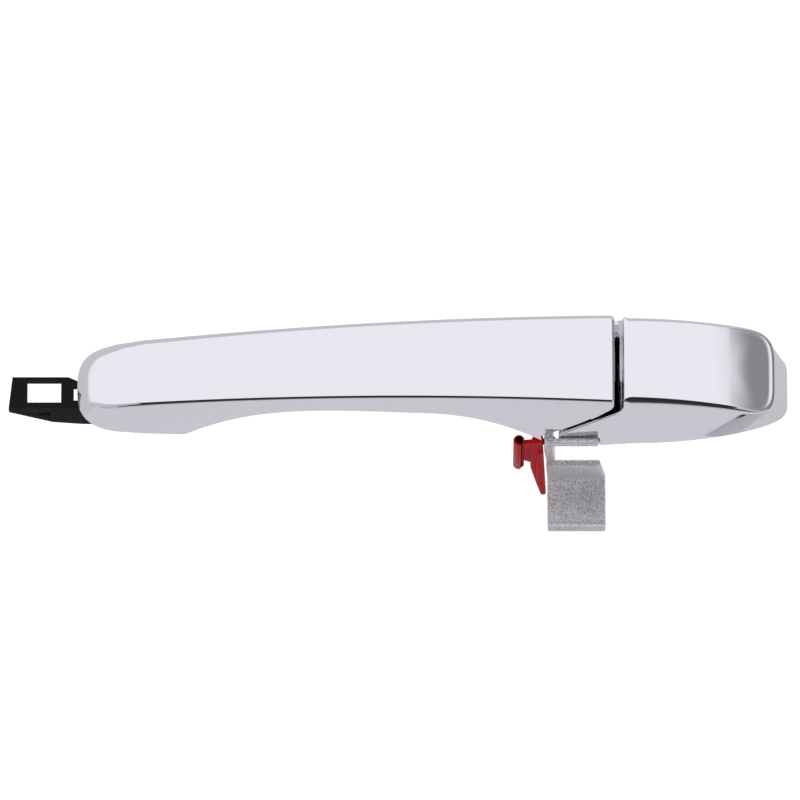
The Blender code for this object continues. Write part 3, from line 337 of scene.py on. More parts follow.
def grip_face(x):
    """Y of the middle of the face: a parabola back from its peak at x = -60 mm, rolled over the nose."""
    sweep = 14.7 * MM * ((-60 * MM - x) / (140 * MM)) ** 2
    roll = 5.32 * MM * (np.clip(NOSE_SHOULDER - x, 0, None) / (19.7 * MM)) ** 2
    return FACE_Y + sweep + roll


def parting(x):
    """Y of the slanting cut at the rear: a straight slope that steepens with the cube of the run."""
    run = x - HEEL_X
    return HEEL_Y - SLANT * run - run**3 / (70 * MM) ** 2


def grip_back(x):
    """Y of the back: on the door at the nose and the heel, bowed out between them by two power curves."""
    front = np.clip((x - NOSE_FLAT_END) / (80 * MM), 0, 1)
    rear = np.clip((-51.5 * MM - x) / (45 * MM), 0, 1)
    return -BOW * np.minimum(1 - (1 - front) ** 3.2, 1 - (1 - rear) ** 2.2)


def grip_half(x):
    """Half height of the crease line, straight from the rear to the nose's shoulder and on past it."""
    rise = (GRIP_HALF_REAR - GRIP_HALF_NOSE) / (GRIP_END - NOSE_SHOULDER)
    return GRIP_HALF_NOSE + rise * (x - NOSE_SHOULDER)


def grip_outline(stations, inset, count=34):
    """X and half heights of the crease and the base, along the stations and round a quarter of the nose."""
    tips = (GRIP_TIP + 4.8 * MM + inset, GRIP_TIP + inset)
    lines = []
    for tip, extra in zip(tips, (-inset, FLARE - inset)):
        arc_x, arc_z = superellipse(NOSE_SHOULDER, tip, 1.0, 3.0, count)
        arc_z = arc_z * (grip_half(arc_x) + extra)
        lines.append(np.concatenate([stations, arc_x[1:]]))
        lines.append(np.concatenate([grip_half(stations) + extra, arc_z[1:]]))
    return lines


def half_to_full(upper, lower):
    """Joins two half grids, whose columns run from the rear to the tip; the lower one is mirrored in Z."""
    return np.concatenate([upper, lower[:, -2::-1] * np.array([1, 1, -1])], axis=1)


def grip_grid(stations, back, solid, round_by):
    """Rows from the middle of the face over the crease, the flank and the rim to the middle of the hollow.

    The flank is the straight line from the crease to the base with a slight bulge, and stops at the back's
    depth. The rim is a flat quartic dome. Where solid is true, the rows inside the rim lie on the back.
    """
    x1, z1, x0, z0 = grip_outline(stations, 0.0)
    u1, w1, u0, w0 = grip_outline(stations, WALL)
    nose = len(x1) - len(stations)
    back = np.concatenate([back, np.zeros(nose)])
    solid = np.concatenate([solid, np.zeros(nose, bool)])
    # The crease's rounding eases to the same radius on both sides at the nose's tip.
    ease = np.linspace(round_by, CREASE_RADIUS, nose + 1)[1:]
    radius = np.concatenate([np.full(len(stations), round_by), ease])
    near = radius / grip_half(x1)
    z1 = z1 + 0.5 * (radius - CREASE_RADIUS)  # a wider rounding starts further out, so the height stays
    # The rear lip is rounded: the outline shrinks by a quarter circle over its radius.
    reach = np.clip(x1 - (GRIP_END - LIP_RADIUS), 0, LIP_RADIUS)
    shrink = LIP_RADIUS - np.sqrt(np.clip(LIP_RADIUS**2 - reach**2, 0, None))
    z1, z0 = z1 - shrink, z0 - shrink

    def face_at(share, x, z, drop):
        past = x < NOSE_SHOULDER
        px = np.where(past, NOSE_SHOULDER + (x - NOSE_SHOULDER) * share, x)
        pz = z * share
        return np.stack([px, grip_face(px) + CROWN * (pz / grip_half(px)) ** 2 + drop + shrink, pz], -1)

    def flank_at(y, x, z, xb, zb, rim, bulge):
        t = (y - rim) / np.maximum(-rim, MM)
        out = bulge * 4 * t * (1 - t)
        return np.stack([x + (xb - x) * t, y, z + (zb - z) * t + out * (z > MM)], -1)

    rim = face_at(1.0, x1, z1, 0.0)[:, 1]
    rows = [face_at(s * (1 - near), x1, z1, 0.0) for s in np.linspace(0, 1, 14)[:-1]]
    inner = face_at(1 - near, x1, z1, 0.0)
    corner = face_at(1.0, x1, z1, 0.0)
    low = np.minimum(back - 0.7 * MM, rim + radius * 1.2)
    outer = flank_at(low, x1, z1, x0, z0, rim, FLANK_BULGE)
    rows += [bend(inner, corner, outer, s) for s in np.linspace(0, 1, 9)]
    edge_y = back - RIM_DOME
    for s in np.linspace(0, 1, 15)[1:]:
        rows.append(flank_at(low + (edge_y - low) * s, x1, z1, x0, z0, rim, FLANK_BULGE))
    inner_rim = grip_face(np.maximum(u1, GRIP_TIP)) + CROWN + WALL
    outside = flank_at(edge_y, x1, z1, x0, z0, rim, FLANK_BULGE)
    inside = flank_at(edge_y, u1, w1, u0, w0, inner_rim, 0.0)
    for t in (0.03, 0.1, 0.22, 0.5, 0.78, 0.9, 0.97, 1.0):
        ring = outside * (1 - t) + inside * t
        ring[:, 1] = back - RIM_DOME * abs(2 * t - 1) ** 4
        rows.append(ring)
    for s in (0.33, 0.66, 1.0):
        rows.append(flank_at(edge_y + (inner_rim - edge_y) * s, u1, w1, u0, w0, inner_rim, 0.0))
    for s in (0.75, 0.5, 0.25, 0.0):
        px = np.where(u1 < NOSE_SHOULDER, NOSE_SHOULDER + (u1 - NOSE_SHOULDER) * s, u1)
        rows.append(np.stack([px, grip_face(px) + CROWN + WALL, w1 * s], -1))
    rows = np.array(rows)
    first = 13 + 9 + 14  # rows of the face, the crease and the flank
    spread = np.linspace(1, 0, len(rows) - first + 1)[1:]
    flat = np.stack([
        np.broadcast_to(x1, (len(spread), len(x1))),
        np.broadcast_to(back, (len(spread), len(x1))),
        outside[None, :, 2] * spread[:, None],
    ], -1)
    rows[first:] = np.where(solid[None, :, None], flat, rows[first:])
    to_back = flank_at(back, x1, z1, x0, z0, rim, FLANK_BULGE)
    rows[first - 1] = np.where(solid[:, None], to_back, rows[first - 1])
    return rows


lip = np.concatenate([
    GRIP_END - LIP_RADIUS * (1 - np.sin(np.linspace(pi / 2, 0, 7))),
    np.linspace(GRIP_END - LIP_RADIUS, HOLLOW_END, 8)[1:],
])
slant = np.linspace(HOLLOW_END, HEEL_X, 16)
strap = np.linspace(HEEL_X, NOSE_SHOULDER, 130)
stations = np.concatenate([lip, slant, strap])
back = np.concatenate([parting(lip), parting(slant), grip_back(strap)])
solid = np.concatenate([np.ones(len(lip), bool), np.zeros(len(slant) + len(strap), bool)])
grid = half_to_full(
    grip_grid(stations, back, solid, TOP_RADIUS), grip_grid(stations, back, solid, CREASE_RADIUS)
)
rows, columns = grid.shape[:2]
end_face = [r * columns for r in range(rows)] + [r * columns + columns - 1 for r in range(rows - 2, 0, -1)]
shell = put_surface("grip_shell_plated", grid, CHROME, [end_face], sharp=40)
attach(shell, "grip")
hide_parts("grip_outer_shell")

# ---- cover of the cap ----------------------------------------------------------------------------------
# The fixed end cap: plated ABS like the grip, moulded hollow, with a thick rim that seals on the door. Its
# front is cut back under the slant of the grip and turns up into a narrow wall at the parting, and its face
# rolls away towards the tail. Its lower rim is notched at the toe for the hook's finger.

CAP_FRONT = -24.3 * MM
TOE_X = -47.8 * MM
TAIL_X = 36.1 * MM
CREASE_TAIL_X = 31.0 * MM
CREASE_SHOULDER = 14.6 * MM
BASE_SHOULDER = -20.0 * MM
CAP_HALF = 16.2 * MM
TOE_HALF = 23.2 * MM
SHOULDER_HALF = 21.6 * MM
TAIL_TAPER = 0.39
CORNER_RADIUS = 7.0 * MM
RELIEF_HALF = 21.4 * MM
RELIEF_END = -32.8 * MM
PARTING_GAP = 2.6 * MM
CAP_BULGE = 0.3 * MM
UPPER_RADIUS = 2.6 * MM
LOWER_RADIUS = 2.4 * MM
TAIL_RADIUS = 1.5 * MM
INNER_RADIUS = 0.8 * MM
FAN_END = -6.0 * MM  # the flank's ribs lean towards the toe up to here


def cap_face(x):
    """Y of the middle of the face: a parabola of radius 106 mm that falls back from the parting."""
    return -28.8 * MM + (x - CAP_FRONT) ** 2 / (212 * MM)


def cap_base_half(x):
    """Half height of the base: straight to the shoulder, then a superellipse of power 8 that tapers in."""
    line = TOE_HALF + (SHOULDER_HALF - TOE_HALF) * (x - TOE_X) / (BASE_SHOULDER - TOE_X)
    run = np.clip((x - BASE_SHOULDER) / (TAIL_X - BASE_SHOULDER), 0, 1)
    tail = SHOULDER_HALF * (1 - run**8) ** (1 / 8) * (1 - TAIL_TAPER * run**2)
    return np.where(x < BASE_SHOULDER, line, tail)


def cap_profile(move):
    """X and Y along the middle of the top, moved in by a distance: toe, slant, corner, wall and face."""
    lean = atan(SLANT)
    turn = pi / 2 - lean
    corner_y = HEEL_Y + PARTING_GAP * SLANT - SLANT * (CAP_FRONT - HEEL_X) + move * tan(turn / 2)
    arc_y = corner_y - CORNER_RADIUS * tan(turn / 2)
    angle = np.linspace(turn, 0, 14)
    arc_x = CAP_FRONT + move - CORNER_RADIUS * (1 - np.cos(angle))
    arc = np.stack([arc_x, arc_y + CORNER_RADIUS * np.sin(angle)], -1)
    toe = arc[0] + np.array([TOE_X + move - arc[0, 0], SLANT * (arc[0, 0] - TOE_X - move)])
    edge = np.array([CAP_FRONT + move, cap_face(CAP_FRONT + move) + move])
    roll = 0.9 * MM
    past = np.array([CAP_FRONT + move + roll, cap_face(CAP_FRONT + move + roll) + move])
    knee = bend(edge + (0, roll), edge, past, np.linspace(0, 1, 8)[:, None])
    toe_knee = bend(
        toe + (0, 1.2 * MM), toe, toe + np.array([1.0, -SLANT]) * MM, np.linspace(0, 1, 7)[:, None]
    )
    slant_line = toe_knee[-1] + (arc[0] - toe_knee[-1]) * np.linspace(0, 1, 22)[1:-1, None]
    wall_line = arc[-1] + (knee[0] - arc[-1]) * np.linspace(0, 1, 6)[1:-1, None]
    face_x = np.linspace(past[0], CREASE_SHOULDER, 34)[1:]
    face_line = np.stack([face_x, cap_face(face_x) + move], -1)
    return np.concatenate([toe_knee, slant_line, arc, wall_line, knee, face_line])


def cap_layer(move, round_by, tail_by, crease_half=CAP_HALF):
    """The cap's outer layer, or moved in by a wall its inner one: rows from the middle of the top outwards.

    Straight part: half height is the line from the crease to the base at each depth, read at every point.
    Tail: the crease's and the base's quarter superellipses, matched by length, joined by straight lines.
    """
    path = cap_profile(move)
    x, y = path.T
    length = np.concatenate([[0], np.cumsum(np.hypot(np.diff(x), np.diff(y)))])
    fan = length < np.interp(FAN_END, x[-33:], length[-33:])
    reach = length[fan][-1]
    base_x = np.where(fan, TOE_X + move + (FAN_END - TOE_X - move) * length / reach, x)
    base_x = np.maximum(base_x, TOE_X + move)
    tail_x1, tail_z1 = superellipse(CREASE_SHOULDER, CREASE_TAIL_X - move, crease_half - move, 4.5, 40)
    base_line = np.linspace(CREASE_SHOULDER, TAIL_X, 4000)
    base_z = cap_base_half(base_line)
    run = np.concatenate([[0], np.cumsum(np.hypot(np.diff(base_line), np.diff(base_z)))])
    share = np.linspace(0, run[-1], 40)
    tail_x0 = np.interp(share, run, base_line)
    tail_z0 = np.interp(share, run, base_z)
    inward = (tail_x0 - CREASE_SHOULDER) / (TAIL_X - CREASE_SHOULDER)
    tail_x0, tail_z0 = tail_x0 - move * inward, np.maximum(tail_z0 - move, 0) * (inward < 1)
    crown = CROWN * (x > CAP_FRONT + move + MM)

    def half_at(px, py):
        rim = cap_face(px) + CROWN + move
        t = np.clip((py - rim) / -rim, 0, 1)
        bulge = CAP_BULGE * 4 * t * (1 - t) * (move == 0)
        return crease_half - move + (cap_base_half(px) - crease_half) * t + bulge

    half = half_at(x, y)
    crease_y = y + crown
    crease_stops = [CAP_FRONT, CAP_FRONT + 1.5 * MM, CREASE_TAIL_X]
    crease_sizes = [0.5 * tail_by, round_by, tail_by]
    radius = np.interp(x, crease_stops, crease_sizes)

    def top_row(share):
        straight = np.stack([x, y + crown * share**2, half * share], -1)
        px = CREASE_SHOULDER + (tail_x1 - CREASE_SHOULDER) * share
        tail = np.stack([px, cap_face(px) + move + CROWN * share**2, tail_z1 * share], -1)
        return np.concatenate([straight, tail[1:]])

    tail_rim = cap_face(tail_x1) + CROWN + move

    def flank_row(share):
        px, py = x + (base_x - x) * share, crease_y * (1 - share)
        straight = np.stack([px, py, half_at(px, py)], -1)
        out = CAP_BULGE * 4 * share * (1 - share) * (move == 0) * (tail_z1 > MM)
        tail = np.stack([
            tail_x1 + (tail_x0 - tail_x1) * share,
            tail_rim * (1 - share),
            tail_z1 + (tail_z0 - tail_z1) * share + out,
        ], -1)
        return np.concatenate([straight, tail[1:]])

    all_radius = np.concatenate([radius, np.interp(tail_x1[1:], crease_stops, crease_sizes)])
    depth = np.concatenate([np.abs(crease_y), np.abs(tail_rim[1:])])
    widths = np.concatenate([half, np.full(39, CAP_HALF)])
    near = (all_radius / widths)[:, None]
    corner = top_row(1.0)
    inner = corner + (top_row(0.0) - corner) * near
    on_face = corner[:, 0] > CAP_FRONT + MM
    inner[:, 1] = top_row(0.999)[:, 1] - 2 * near[:, 0] * CROWN * on_face
    stack = np.array([flank_row(s) for s in np.linspace(0, 1, 41)])
    start = all_radius / depth
    position = start[:, None] + (1 - start[:, None]) * np.linspace(0, 1, 16)
    floor_index = np.clip((position * 40).astype(int), 0, 39)
    part = (position * 40 - floor_index)[..., None]
    column = np.arange(stack.shape[1])[:, None]
    lines = stack[floor_index, column] * (1 - part) + stack[floor_index + 1, column] * part
    fillet = [bend(inner, corner, lines[:, 0], s) for s in np.linspace(0, 1, 9)[:-1]]
    tops = []
    for s in np.linspace(0, 1, 12)[:-1]:
        row = top_row(0.0) + (inner - top_row(0.0)) * s
        row[:, 1] = top_row(0.0)[:, 1] + (inner[:, 1] - top_row(0.0)[:, 1]) * s**2
        past = np.arange(len(row)) >= len(x)
        crown_at_edge = inner[past, 1] - cap_face(inner[past, 0]) - move
        row[past, 1] = cap_face(row[past, 0]) + move + crown_at_edge * s**2
        tops.append(row)
    return np.concatenate([np.array(tops), np.array(fillet), lines.transpose(1, 0, 2)])


def cap_half(round_by, crease_half):
    """Rows of the outer layer, the rounded rim and the inner layer, for one half of the cap."""
    outer = cap_layer(0.0, round_by, TAIL_RADIUS, crease_half)
    inner = cap_layer(WALL, INNER_RADIUS, INNER_RADIUS)[::-1]
    outer[-1, :, 1] = inner[0, :, 1] = -0.5 * MM
    share = np.array([0.1, 0.25, 0.5, 0.75, 0.9])[:, None]
    rim = outer[-1] * (1 - share[..., None]) + inner[0] * share[..., None]
    rim[..., 1] = -0.5 * MM * abs(2 * share - 1) ** 4
    return np.concatenate([outer, rim, inner])


whole = half_to_full(
    cap_half(UPPER_RADIUS, CAP_HALF + 0.7 * MM), cap_half(LOWER_RADIUS, CAP_HALF + 0.3 * MM)
)
# The notch for the finger: below the middle, the lower rim is pressed in flat at the toe.
notch = (whole[..., 2] < -RELIEF_HALF) & (whole[..., 0] < RELIEF_END) & (whole[..., 1] > -7.0 * MM)
whole[..., 2] = np.where(notch, -RELIEF_HALF, whole[..., 2])
rows, columns = whole.shape[:2]
toe_face = [r * columns for r in range(rows)] + [r * columns + columns - 1 for r in range(rows - 2, 0, -1)]
cover = put_surface("cap_cover_plated", whole, CHROME, [toe_face], sharp=40)
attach(cover, "cap")
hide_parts("cap_cover")

# ---- pull hook -----------------------------------------------------------------------------------------
# The stamping that draws the latch lever: 2.9 mm steel sheet, an ear screwed to the core, a web through the
# door skin, a finger under the cap and a shelf, tab and lip behind. It is tumbled, then bright zinc plated.


def round_off(points, radius, steps=7):
    """A closed outline with each corner replaced by a quadratic curve that starts a radius before it."""
    points = np.array(points, float)
    before, after = np.roll(points, 1, 0), np.roll(points, -1, 0)
    run_in, run_out = before - points, after - points
    size_in, size_out = np.hypot(*run_in.T)[:, None], np.hypot(*run_out.T)[:, None]
    start = points + run_in / size_in * np.minimum(radius, 0.45 * size_in)
    end = points + run_out / size_out * np.minimum(radius, 0.45 * size_out)
    share = np.linspace(0, 1, steps)[:, None, None]
    return bend(start, points, end, share).transpose(1, 0, 2).reshape(-1, 2)


def plate(outline, low, high, edge, axis="X", steps=5):
    """Grid and end faces of an outline carried along an axis from low to high, with edges rounded.

    Near each end the outline moves in along its own normals by a quarter circle of the edge's radius. High
    may be one value for each point of the outline.
    """
    outline = np.asarray(outline)
    area = np.sum(outline[:, 0] * np.roll(outline[:, 1], -1) - np.roll(outline[:, 0], -1) * outline[:, 1])
    along = np.roll(outline, -1, 0) - np.roll(outline, 1, 0)
    along /= np.maximum(np.hypot(*along.T), 1e-9)[:, None]
    inward = np.stack([-along[:, 1], along[:, 0]], -1) * np.sign(area)
    turn = np.linspace(0, pi / 2, steps)
    moves = edge * (1 - np.sin(turn))
    lifts = edge * (1 - np.cos(turn))
    high = np.broadcast_to(high, len(outline))
    rings = [(outline + inward * m, low + lift + 0 * high) for m, lift in zip(moves, lifts)]
    rings += [(outline + inward * m, high - lift) for m, lift in zip(moves[::-1], lifts[::-1])]
    order = {"X": (2, 0, 1), "Y": (0, 2, 1), "Z": (0, 1, 2)}[axis]
    grid = np.array([np.column_stack([flat, level])[:, order] for flat, level in rings])
    grid = np.concatenate([grid, grid[:, :1]], axis=1)
    rows, columns = grid.shape[:2]
    first = list(range(columns - 1))
    return grid, [first, [(rows - 1) * columns + i for i in first]]


def join_pieces(name, pieces):
    """One mesh from several closed ones, which are then removed."""
    bm = bmesh.new()
    for piece in pieces:
        bm.from_mesh(piece.data)
    material = pieces[0].data.materials[0]
    mesh = bpy.data.meshes.new(name)
    bm.to_mesh(mesh)
    bm.free()
    for piece in pieces:
        bpy.data.objects.remove(piece, do_unlink=True)
    return link_object(name, mesh, material)


def zinc_on_steel(name):
    """Bright zinc plate on tumbled steel: pale blue-white, with a frosty speckle and darker pits."""
    material = blank_material(name)
    tree = material.node_tree
    # Tumbling leaves pits about 0.1 mm across; drawn at 0.5 mm, as coarse as they need to be to show.
    frost = add_noise(tree, 1900.0, ("Detail", 3.0), ("Roughness", 0.7))
    pits = add_range(tree, frost, 0.36, 0.56, 0.0, 1.0)
    # Zinc grains a few millimetres across take the light a little differently.
    place = add_node(tree, "ShaderNodeTexCoord")
    grains = add_node(tree, "ShaderNodeTexVoronoi", [("Vector", place.outputs["Object"]), ("Scale", 420.0)])
    tint = add_blend(tree, pits, linear("A8B0BC"), linear("FFFFFF"))
    cast = add_blend(tree, 0.12, tint, grains.outputs["Color"], blend_type="SOFT_LIGHT")
    rough = add_range(tree, frost, 0.3, 0.7, 0.44, 0.28)
    # The frost scatters light as paint does, so the plate is drawn as metal only in part.
    return close_material(material, cast, rough, (0.35, 0.00012, frost), ("Metallic", 0.4))


ZINC = zinc_on_steel("bright_zinc_plate")
STEEL = 2.9 * MM
WEB_X = -52.9 * MM
EDGE = 0.45 * MM
LEAN = 0.04
FOLD_Y = 12.0 * MM


def lean_over(grid):
    """The web leans towards the tail by 0.04 of its depth, from a fold behind the door skin."""
    grid = grid.copy()
    grid[..., 0] += LEAN * np.clip(grid[..., 1] - FOLD_Y, 0, None)
    return grid


web = round_off(np.array([
    (-19.9, -2), (-19.9, -13), (-8, -17.2), (-5.0, -17.2), (-5.0, -21.8), (-6.6, -21.8), (-6.6, -24.4),
    (-3.7, -24.4), (12, -20.0), (34.3, -14.6), (34.3, -16.6), (46.9, -16.6), (46.9, -32.6), (48.8, -34.6),
    (54.3, -34.6), (58.0, -14.0), (51.9, -4.0), (12.0, -2.6), (0.0, -2.0),
]) * MM, 1.2 * MM)
grid, ends = plate(web, WEB_X, WEB_X + STEEL, EDGE)
parts = [put_surface("web", lean_over(grid), ZINC, ends)]

strip = round_off(np.array([
    (34.0, -14.0), (34.0, -16.9), (46.6, -16.9), (46.6, -32.9), (48.0, -34.9), (54.6, -34.9), (54.6, -32.0),
    (49.5, -32.0), (49.5, -14.0),
]) * MM, 1.1 * MM, steps=9)
# The free side is cut a little wider behind the shelf, and its corners are rounded by 2.5 mm.
widen = np.clip((strip[:, 0] - 36 * MM) / (9 * MM), 0, 1)
right = WEB_X + 19.3 * MM + 0.7 * MM * widen + LEAN * (strip[:, 0] - FOLD_Y)
for value, limit, way in ((strip[:, 0], 34.0 * MM, 1), (strip[:, 0], 54.6 * MM, -1)):
    near = np.clip(1 - (value - limit) * way / (2.5 * MM), 0, 1)
    right = right - 2.5 * MM * (1 - np.sqrt(1 - near**2)) * 0.9
grid, ends = plate(strip, WEB_X, right, EDGE)
parts.append(put_surface("strip", lean_over(grid), ZINC, ends))

finger = round_off(np.array([(-6.6, -21.8), (-6.6, -24.4), (-3.7, -24.4), (-3.7, -21.8)]) * MM, 1.0 * MM)
grid, ends = plate(finger, WEB_X + 0.2 * MM, WEB_X + 19.7 * MM, 0.7 * MM)
parts.append(put_surface("finger", grid, ZINC, ends))

ear = round_off(np.array([(-52.7, -8.5), (-39.9, -8.5), (-39.9, 8.5), (-52.7, 8.5)]) * MM, 2.0 * MM)
grid, ends = plate(ear, -19.9 * MM, -17.0 * MM, EDGE, axis="Y")
parts.append(put_surface("ear", grid, ZINC, ends))
hook = join_pieces("pull_hook_plated", parts)
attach(hook, "grip")
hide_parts("pull_hook")

# ---- clip on the hook ----------------------------------------------------------------------------------
# A red clip pegged to the side of the web, which keeps the hook from rattling on the lever: one moulding of
# acetal, a flat leg that tapers inwards and a rolled spring barrel beside it.


def ribbon(path, half):
    """A closed outline at an even distance on both sides of an open path."""
    along = np.gradient(path, axis=0)
    along /= np.hypot(*along.T)[:, None]
    side = np.stack([-along[:, 1], along[:, 0]], -1) * half
    return np.concatenate([path + side, (path - side)[::-1]])


def red_acetal(name):
    """Moulded acetal: saturated red, waxy, with a little light let in at thin edges, and flow mottle."""
    material = blank_material(name)
    tree = material.node_tree
    flow = add_noise(tree, 350.0, ("Detail", 3.0))
    tint = add_blend(tree, flow, linear("B00A10"), linear("D01824"))
    # The mould was spark eroded: a grain about 0.15 mm, drawn at 0.4 mm so that it shows.
    grain = add_noise(tree, 2500.0, ("Detail", 2.0))
    return close_material(
        material, tint, 0.34, (0.15, 0.00005, grain), ("IOR", 1.48), ("Specular IOR Level", 0.2),
        ("Subsurface Weight", 0.12), ("Subsurface Scale", 0.0015),
    )


ACETAL = red_acetal("red_moulded_acetal")
BARREL = np.array([-62.2, -18.5]) * MM
parts = []
leg = round_off(np.array([
    (-57.5, 4.0), (-53.3, 4.0), (-53.3, 12.0), (-50.7, 46.0), (-52.6, 46.0), (-54.6, 38.0), (-57.5, 25.0),
]) * MM, 0.7 * MM)
grid, ends = plate(leg, -19.7 * MM, -17.1 * MM, 0.4 * MM, axis="Z")
# Behind the door skin the leg droops, and follows the lean of the web.
droop = np.array([LEAN, 0.0, 0.12])
grid = grid - droop * np.clip(grid[..., 1:2] - 14 * MM, 0, None)
parts.append(put_surface("leg", grid, ACETAL, ends))
rib = round_off(np.array([
    (-55.2, 12.0), (-53.4, 12.0), (-51.4, 38.0), (-52.4, 40.0), (-54.2, 36.0), (-55.4, 26.0),
]) * MM, 0.5 * MM)
grid, ends = plate(rib, -20.6 * MM, -19.3 * MM, 0.35 * MM, axis="Z")
grid = grid - droop * np.clip(grid[..., 1:2] - 14 * MM, 0, None)
parts.append(put_surface("rib", grid, ACETAL, ends))
angle = np.radians(np.linspace(-28, 292, 60))
curl = BARREL + 1.55 * MM * np.stack([np.cos(angle), np.sin(angle)], -1)
grid, ends = plate(ribbon(curl, 0.5 * MM), 4.0 * MM, 28.0 * MM, 0.25 * MM, axis="Y")
parts.append(put_surface("barrel", grid, ACETAL, ends))
bridge = round_off(np.array([(-61.2, 6.0), (-56.8, 5.0), (-56.8, 25.0), (-61.2, 22.0)]) * MM, 0.6 * MM)
grid, ends = plate(bridge, -19.3 * MM, -17.6 * MM, 0.4 * MM, axis="Z")
parts.append(put_surface("bridge", grid, ACETAL, ends))
angle = np.linspace(0, 2 * pi, 33)[:-1]
circle = np.stack([12 * MM + 1.2 * MM * np.cos(angle), -15.9 * MM + 1.2 * MM * np.sin(angle)], -1)
grid, ends = plate(circle, -54.9 * MM, -49.2 * MM, 0.2 * MM)
parts.append(put_surface("peg", grid, ACETAL, ends))
head = np.stack([12 * MM + 1.85 * MM * np.cos(angle), -15.9 * MM + 1.85 * MM * np.sin(angle)], -1)
grid, ends = plate(head, -49.7 * MM, -48.9 * MM, 0.3 * MM)
parts.append(put_surface("peg_head", grid, ACETAL, ends))
lug = round_off(np.array([(6.5, -18.2), (6.5, -14.4), (17.0, -14.4), (17.0, -18.2)]) * MM, 0.6 * MM)
grid, ends = plate(lug, -55.6 * MM, -53.35 * MM, 0.3 * MM)
parts.append(put_surface("lug", grid, ACETAL, ends))
clip = join_pieces("hook_clip_moulded", parts)
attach(clip, "grip")
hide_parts("hook_clip")

# ---- back shell of the grip ----------------------------------------------------------------------------
# The plated strip that the fingers close on: ABS, moulded to the bow of the strap with softened edges, let
# into the open back of the outer shell and held to the core by two sunk screws.


def strip_half(x, y):
    """Half height that fits the hollow at a depth: the shell's inner flank less a gap of 0.4 mm."""
    rim = grip_face(x) + CROWN + WALL
    return grip_half(x) - WALL + FLARE * (y - rim) / -rim - 0.4 * MM


def strip_grid(x, outer, depth, half=None, edge=0.7 * MM):
    """Closed rings of a strip along the grip: a slab between two depths, its outer corners rounded."""
    turn = np.linspace(0, pi / 2, 6)[:, None]
    wide = strip_half(x, outer) if half is None else np.full(len(x), half)
    narrow = strip_half(x, outer - depth) if half is None else np.full(len(x), half)
    corner_z = wide - edge * (1 - np.sin(turn))
    corner_y = outer - edge * (1 - np.cos(turn))
    across = np.linspace(0, 1, 9)[1:-1, None]
    inside = np.linspace(0, 1, 5)[1:-1, None]
    z = np.concatenate([
        narrow * (1 - 2 * inside), -corner_z[::-1], -corner_z[:1] * (1 - 2 * across), corner_z
    ])
    y = np.concatenate([outer - depth + 0 * inside, corner_y[::-1], corner_y[:1] + 0 * across, corner_y])
    z = np.concatenate([narrow[None], z, narrow[None]])
    y = np.concatenate([(outer - depth)[None], y, (outer - depth)[None]])
    z[-1], y[-1] = z[0], y[0]
    ends = [[i for i in range(len(z) - 1)], [(len(x) - 1) * len(z) + i for i in range(len(z) - 1)]]
    return np.stack([np.broadcast_to(x, z.shape), y, z], -1).transpose(1, 0, 2), ends


def drill(obj, places):
    """Cuts round holes along Y: each place is a point, a radius and a length out towards +Y."""
    for point, radius, length in places:
        bm = bmesh.new()
        bmesh.ops.create_cone(bm, cap_ends=True, segments=40, radius1=radius, radius2=radius, depth=length)
        bmesh.ops.rotate(bm, verts=bm.verts, matrix=Matrix.Rotation(pi / 2, 3, "X"))
        bmesh.ops.translate(bm, verts=bm.verts, vec=(point[0], point[1] + length / 2, point[2]))
        mesh = bpy.data.meshes.new("bit")
        bm.to_mesh(mesh)
        bm.free()
        bit = link_object("bit", mesh, obj.data.materials[0])
        cutter = obj.modifiers.new("bit", "BOOLEAN")
        cutter.operation, cutter.object, cutter.solver = "DIFFERENCE", bit, "EXACT"
        graph = bpy.context.evaluated_depsgraph_get()
        drilled = bpy.data.meshes.new_from_object(obj.evaluated_get(graph))
        obj.modifiers.clear()
        obj.data = drilled
        bpy.data.objects.remove(bit, do_unlink=True)
    obj.data.shade_smooth()
    obj.data.set_sharp_from_angle(angle=np.radians(40))
    return obj


BACK_SCREWS = [-150.0 * MM, -90.2 * MM]
HEAD_SINK = 1.9 * MM
x = np.linspace(-181.0 * MM, -70.2 * MM, 150)
grid, ends = strip_grid(x, grip_back(x), 2.5 * MM)
back_shell = put_surface("grip_back_shell_plated", grid, CHROME, ends)
holes = []
for place in BACK_SCREWS:
    seat = float(grip_back(place)) - HEAD_SINK
    holes.append(((place, seat - 3 * MM, 0), 1.9 * MM, 6 * MM))  # clearance for the shank
    holes.append(((place, seat - 0.3 * MM, 0), 3.4 * MM, 5 * MM))  # recess for the head
drill(back_shell, holes)
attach(back_shell, "grip")
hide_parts("grip_back_shell")

# ---- rubber: bumper, nose pad and gasket ---------------------------------------------------------------
# EPDM rubber, moulded: a strip in the heel that takes the slap of the closing grip, a ring in the base of
# the nose and a ring under the rim of the cap. All are pressed into place, and are matt and a little dusty.


def epdm_rubber(name):
    """Moulded rubber: near black with a grey bloom, matt, with a fine orange-peel grain."""
    material = blank_material(name)
    tree = material.node_tree
    bloom = add_noise(tree, 160.0, ("Detail", 5.0))
    tint = add_blend(tree, bloom, linear("141416"), linear("2E2E30"))
    # Grain of the mould, about 0.3 mm.
    grain = add_noise(tree, 3000.0, ("Detail", 2.0))
    return close_material(material, tint, 0.78, (0.5, 0.00006, grain), ("IOR", 1.52))


RUBBER = epdm_rubber("moulded_epdm")


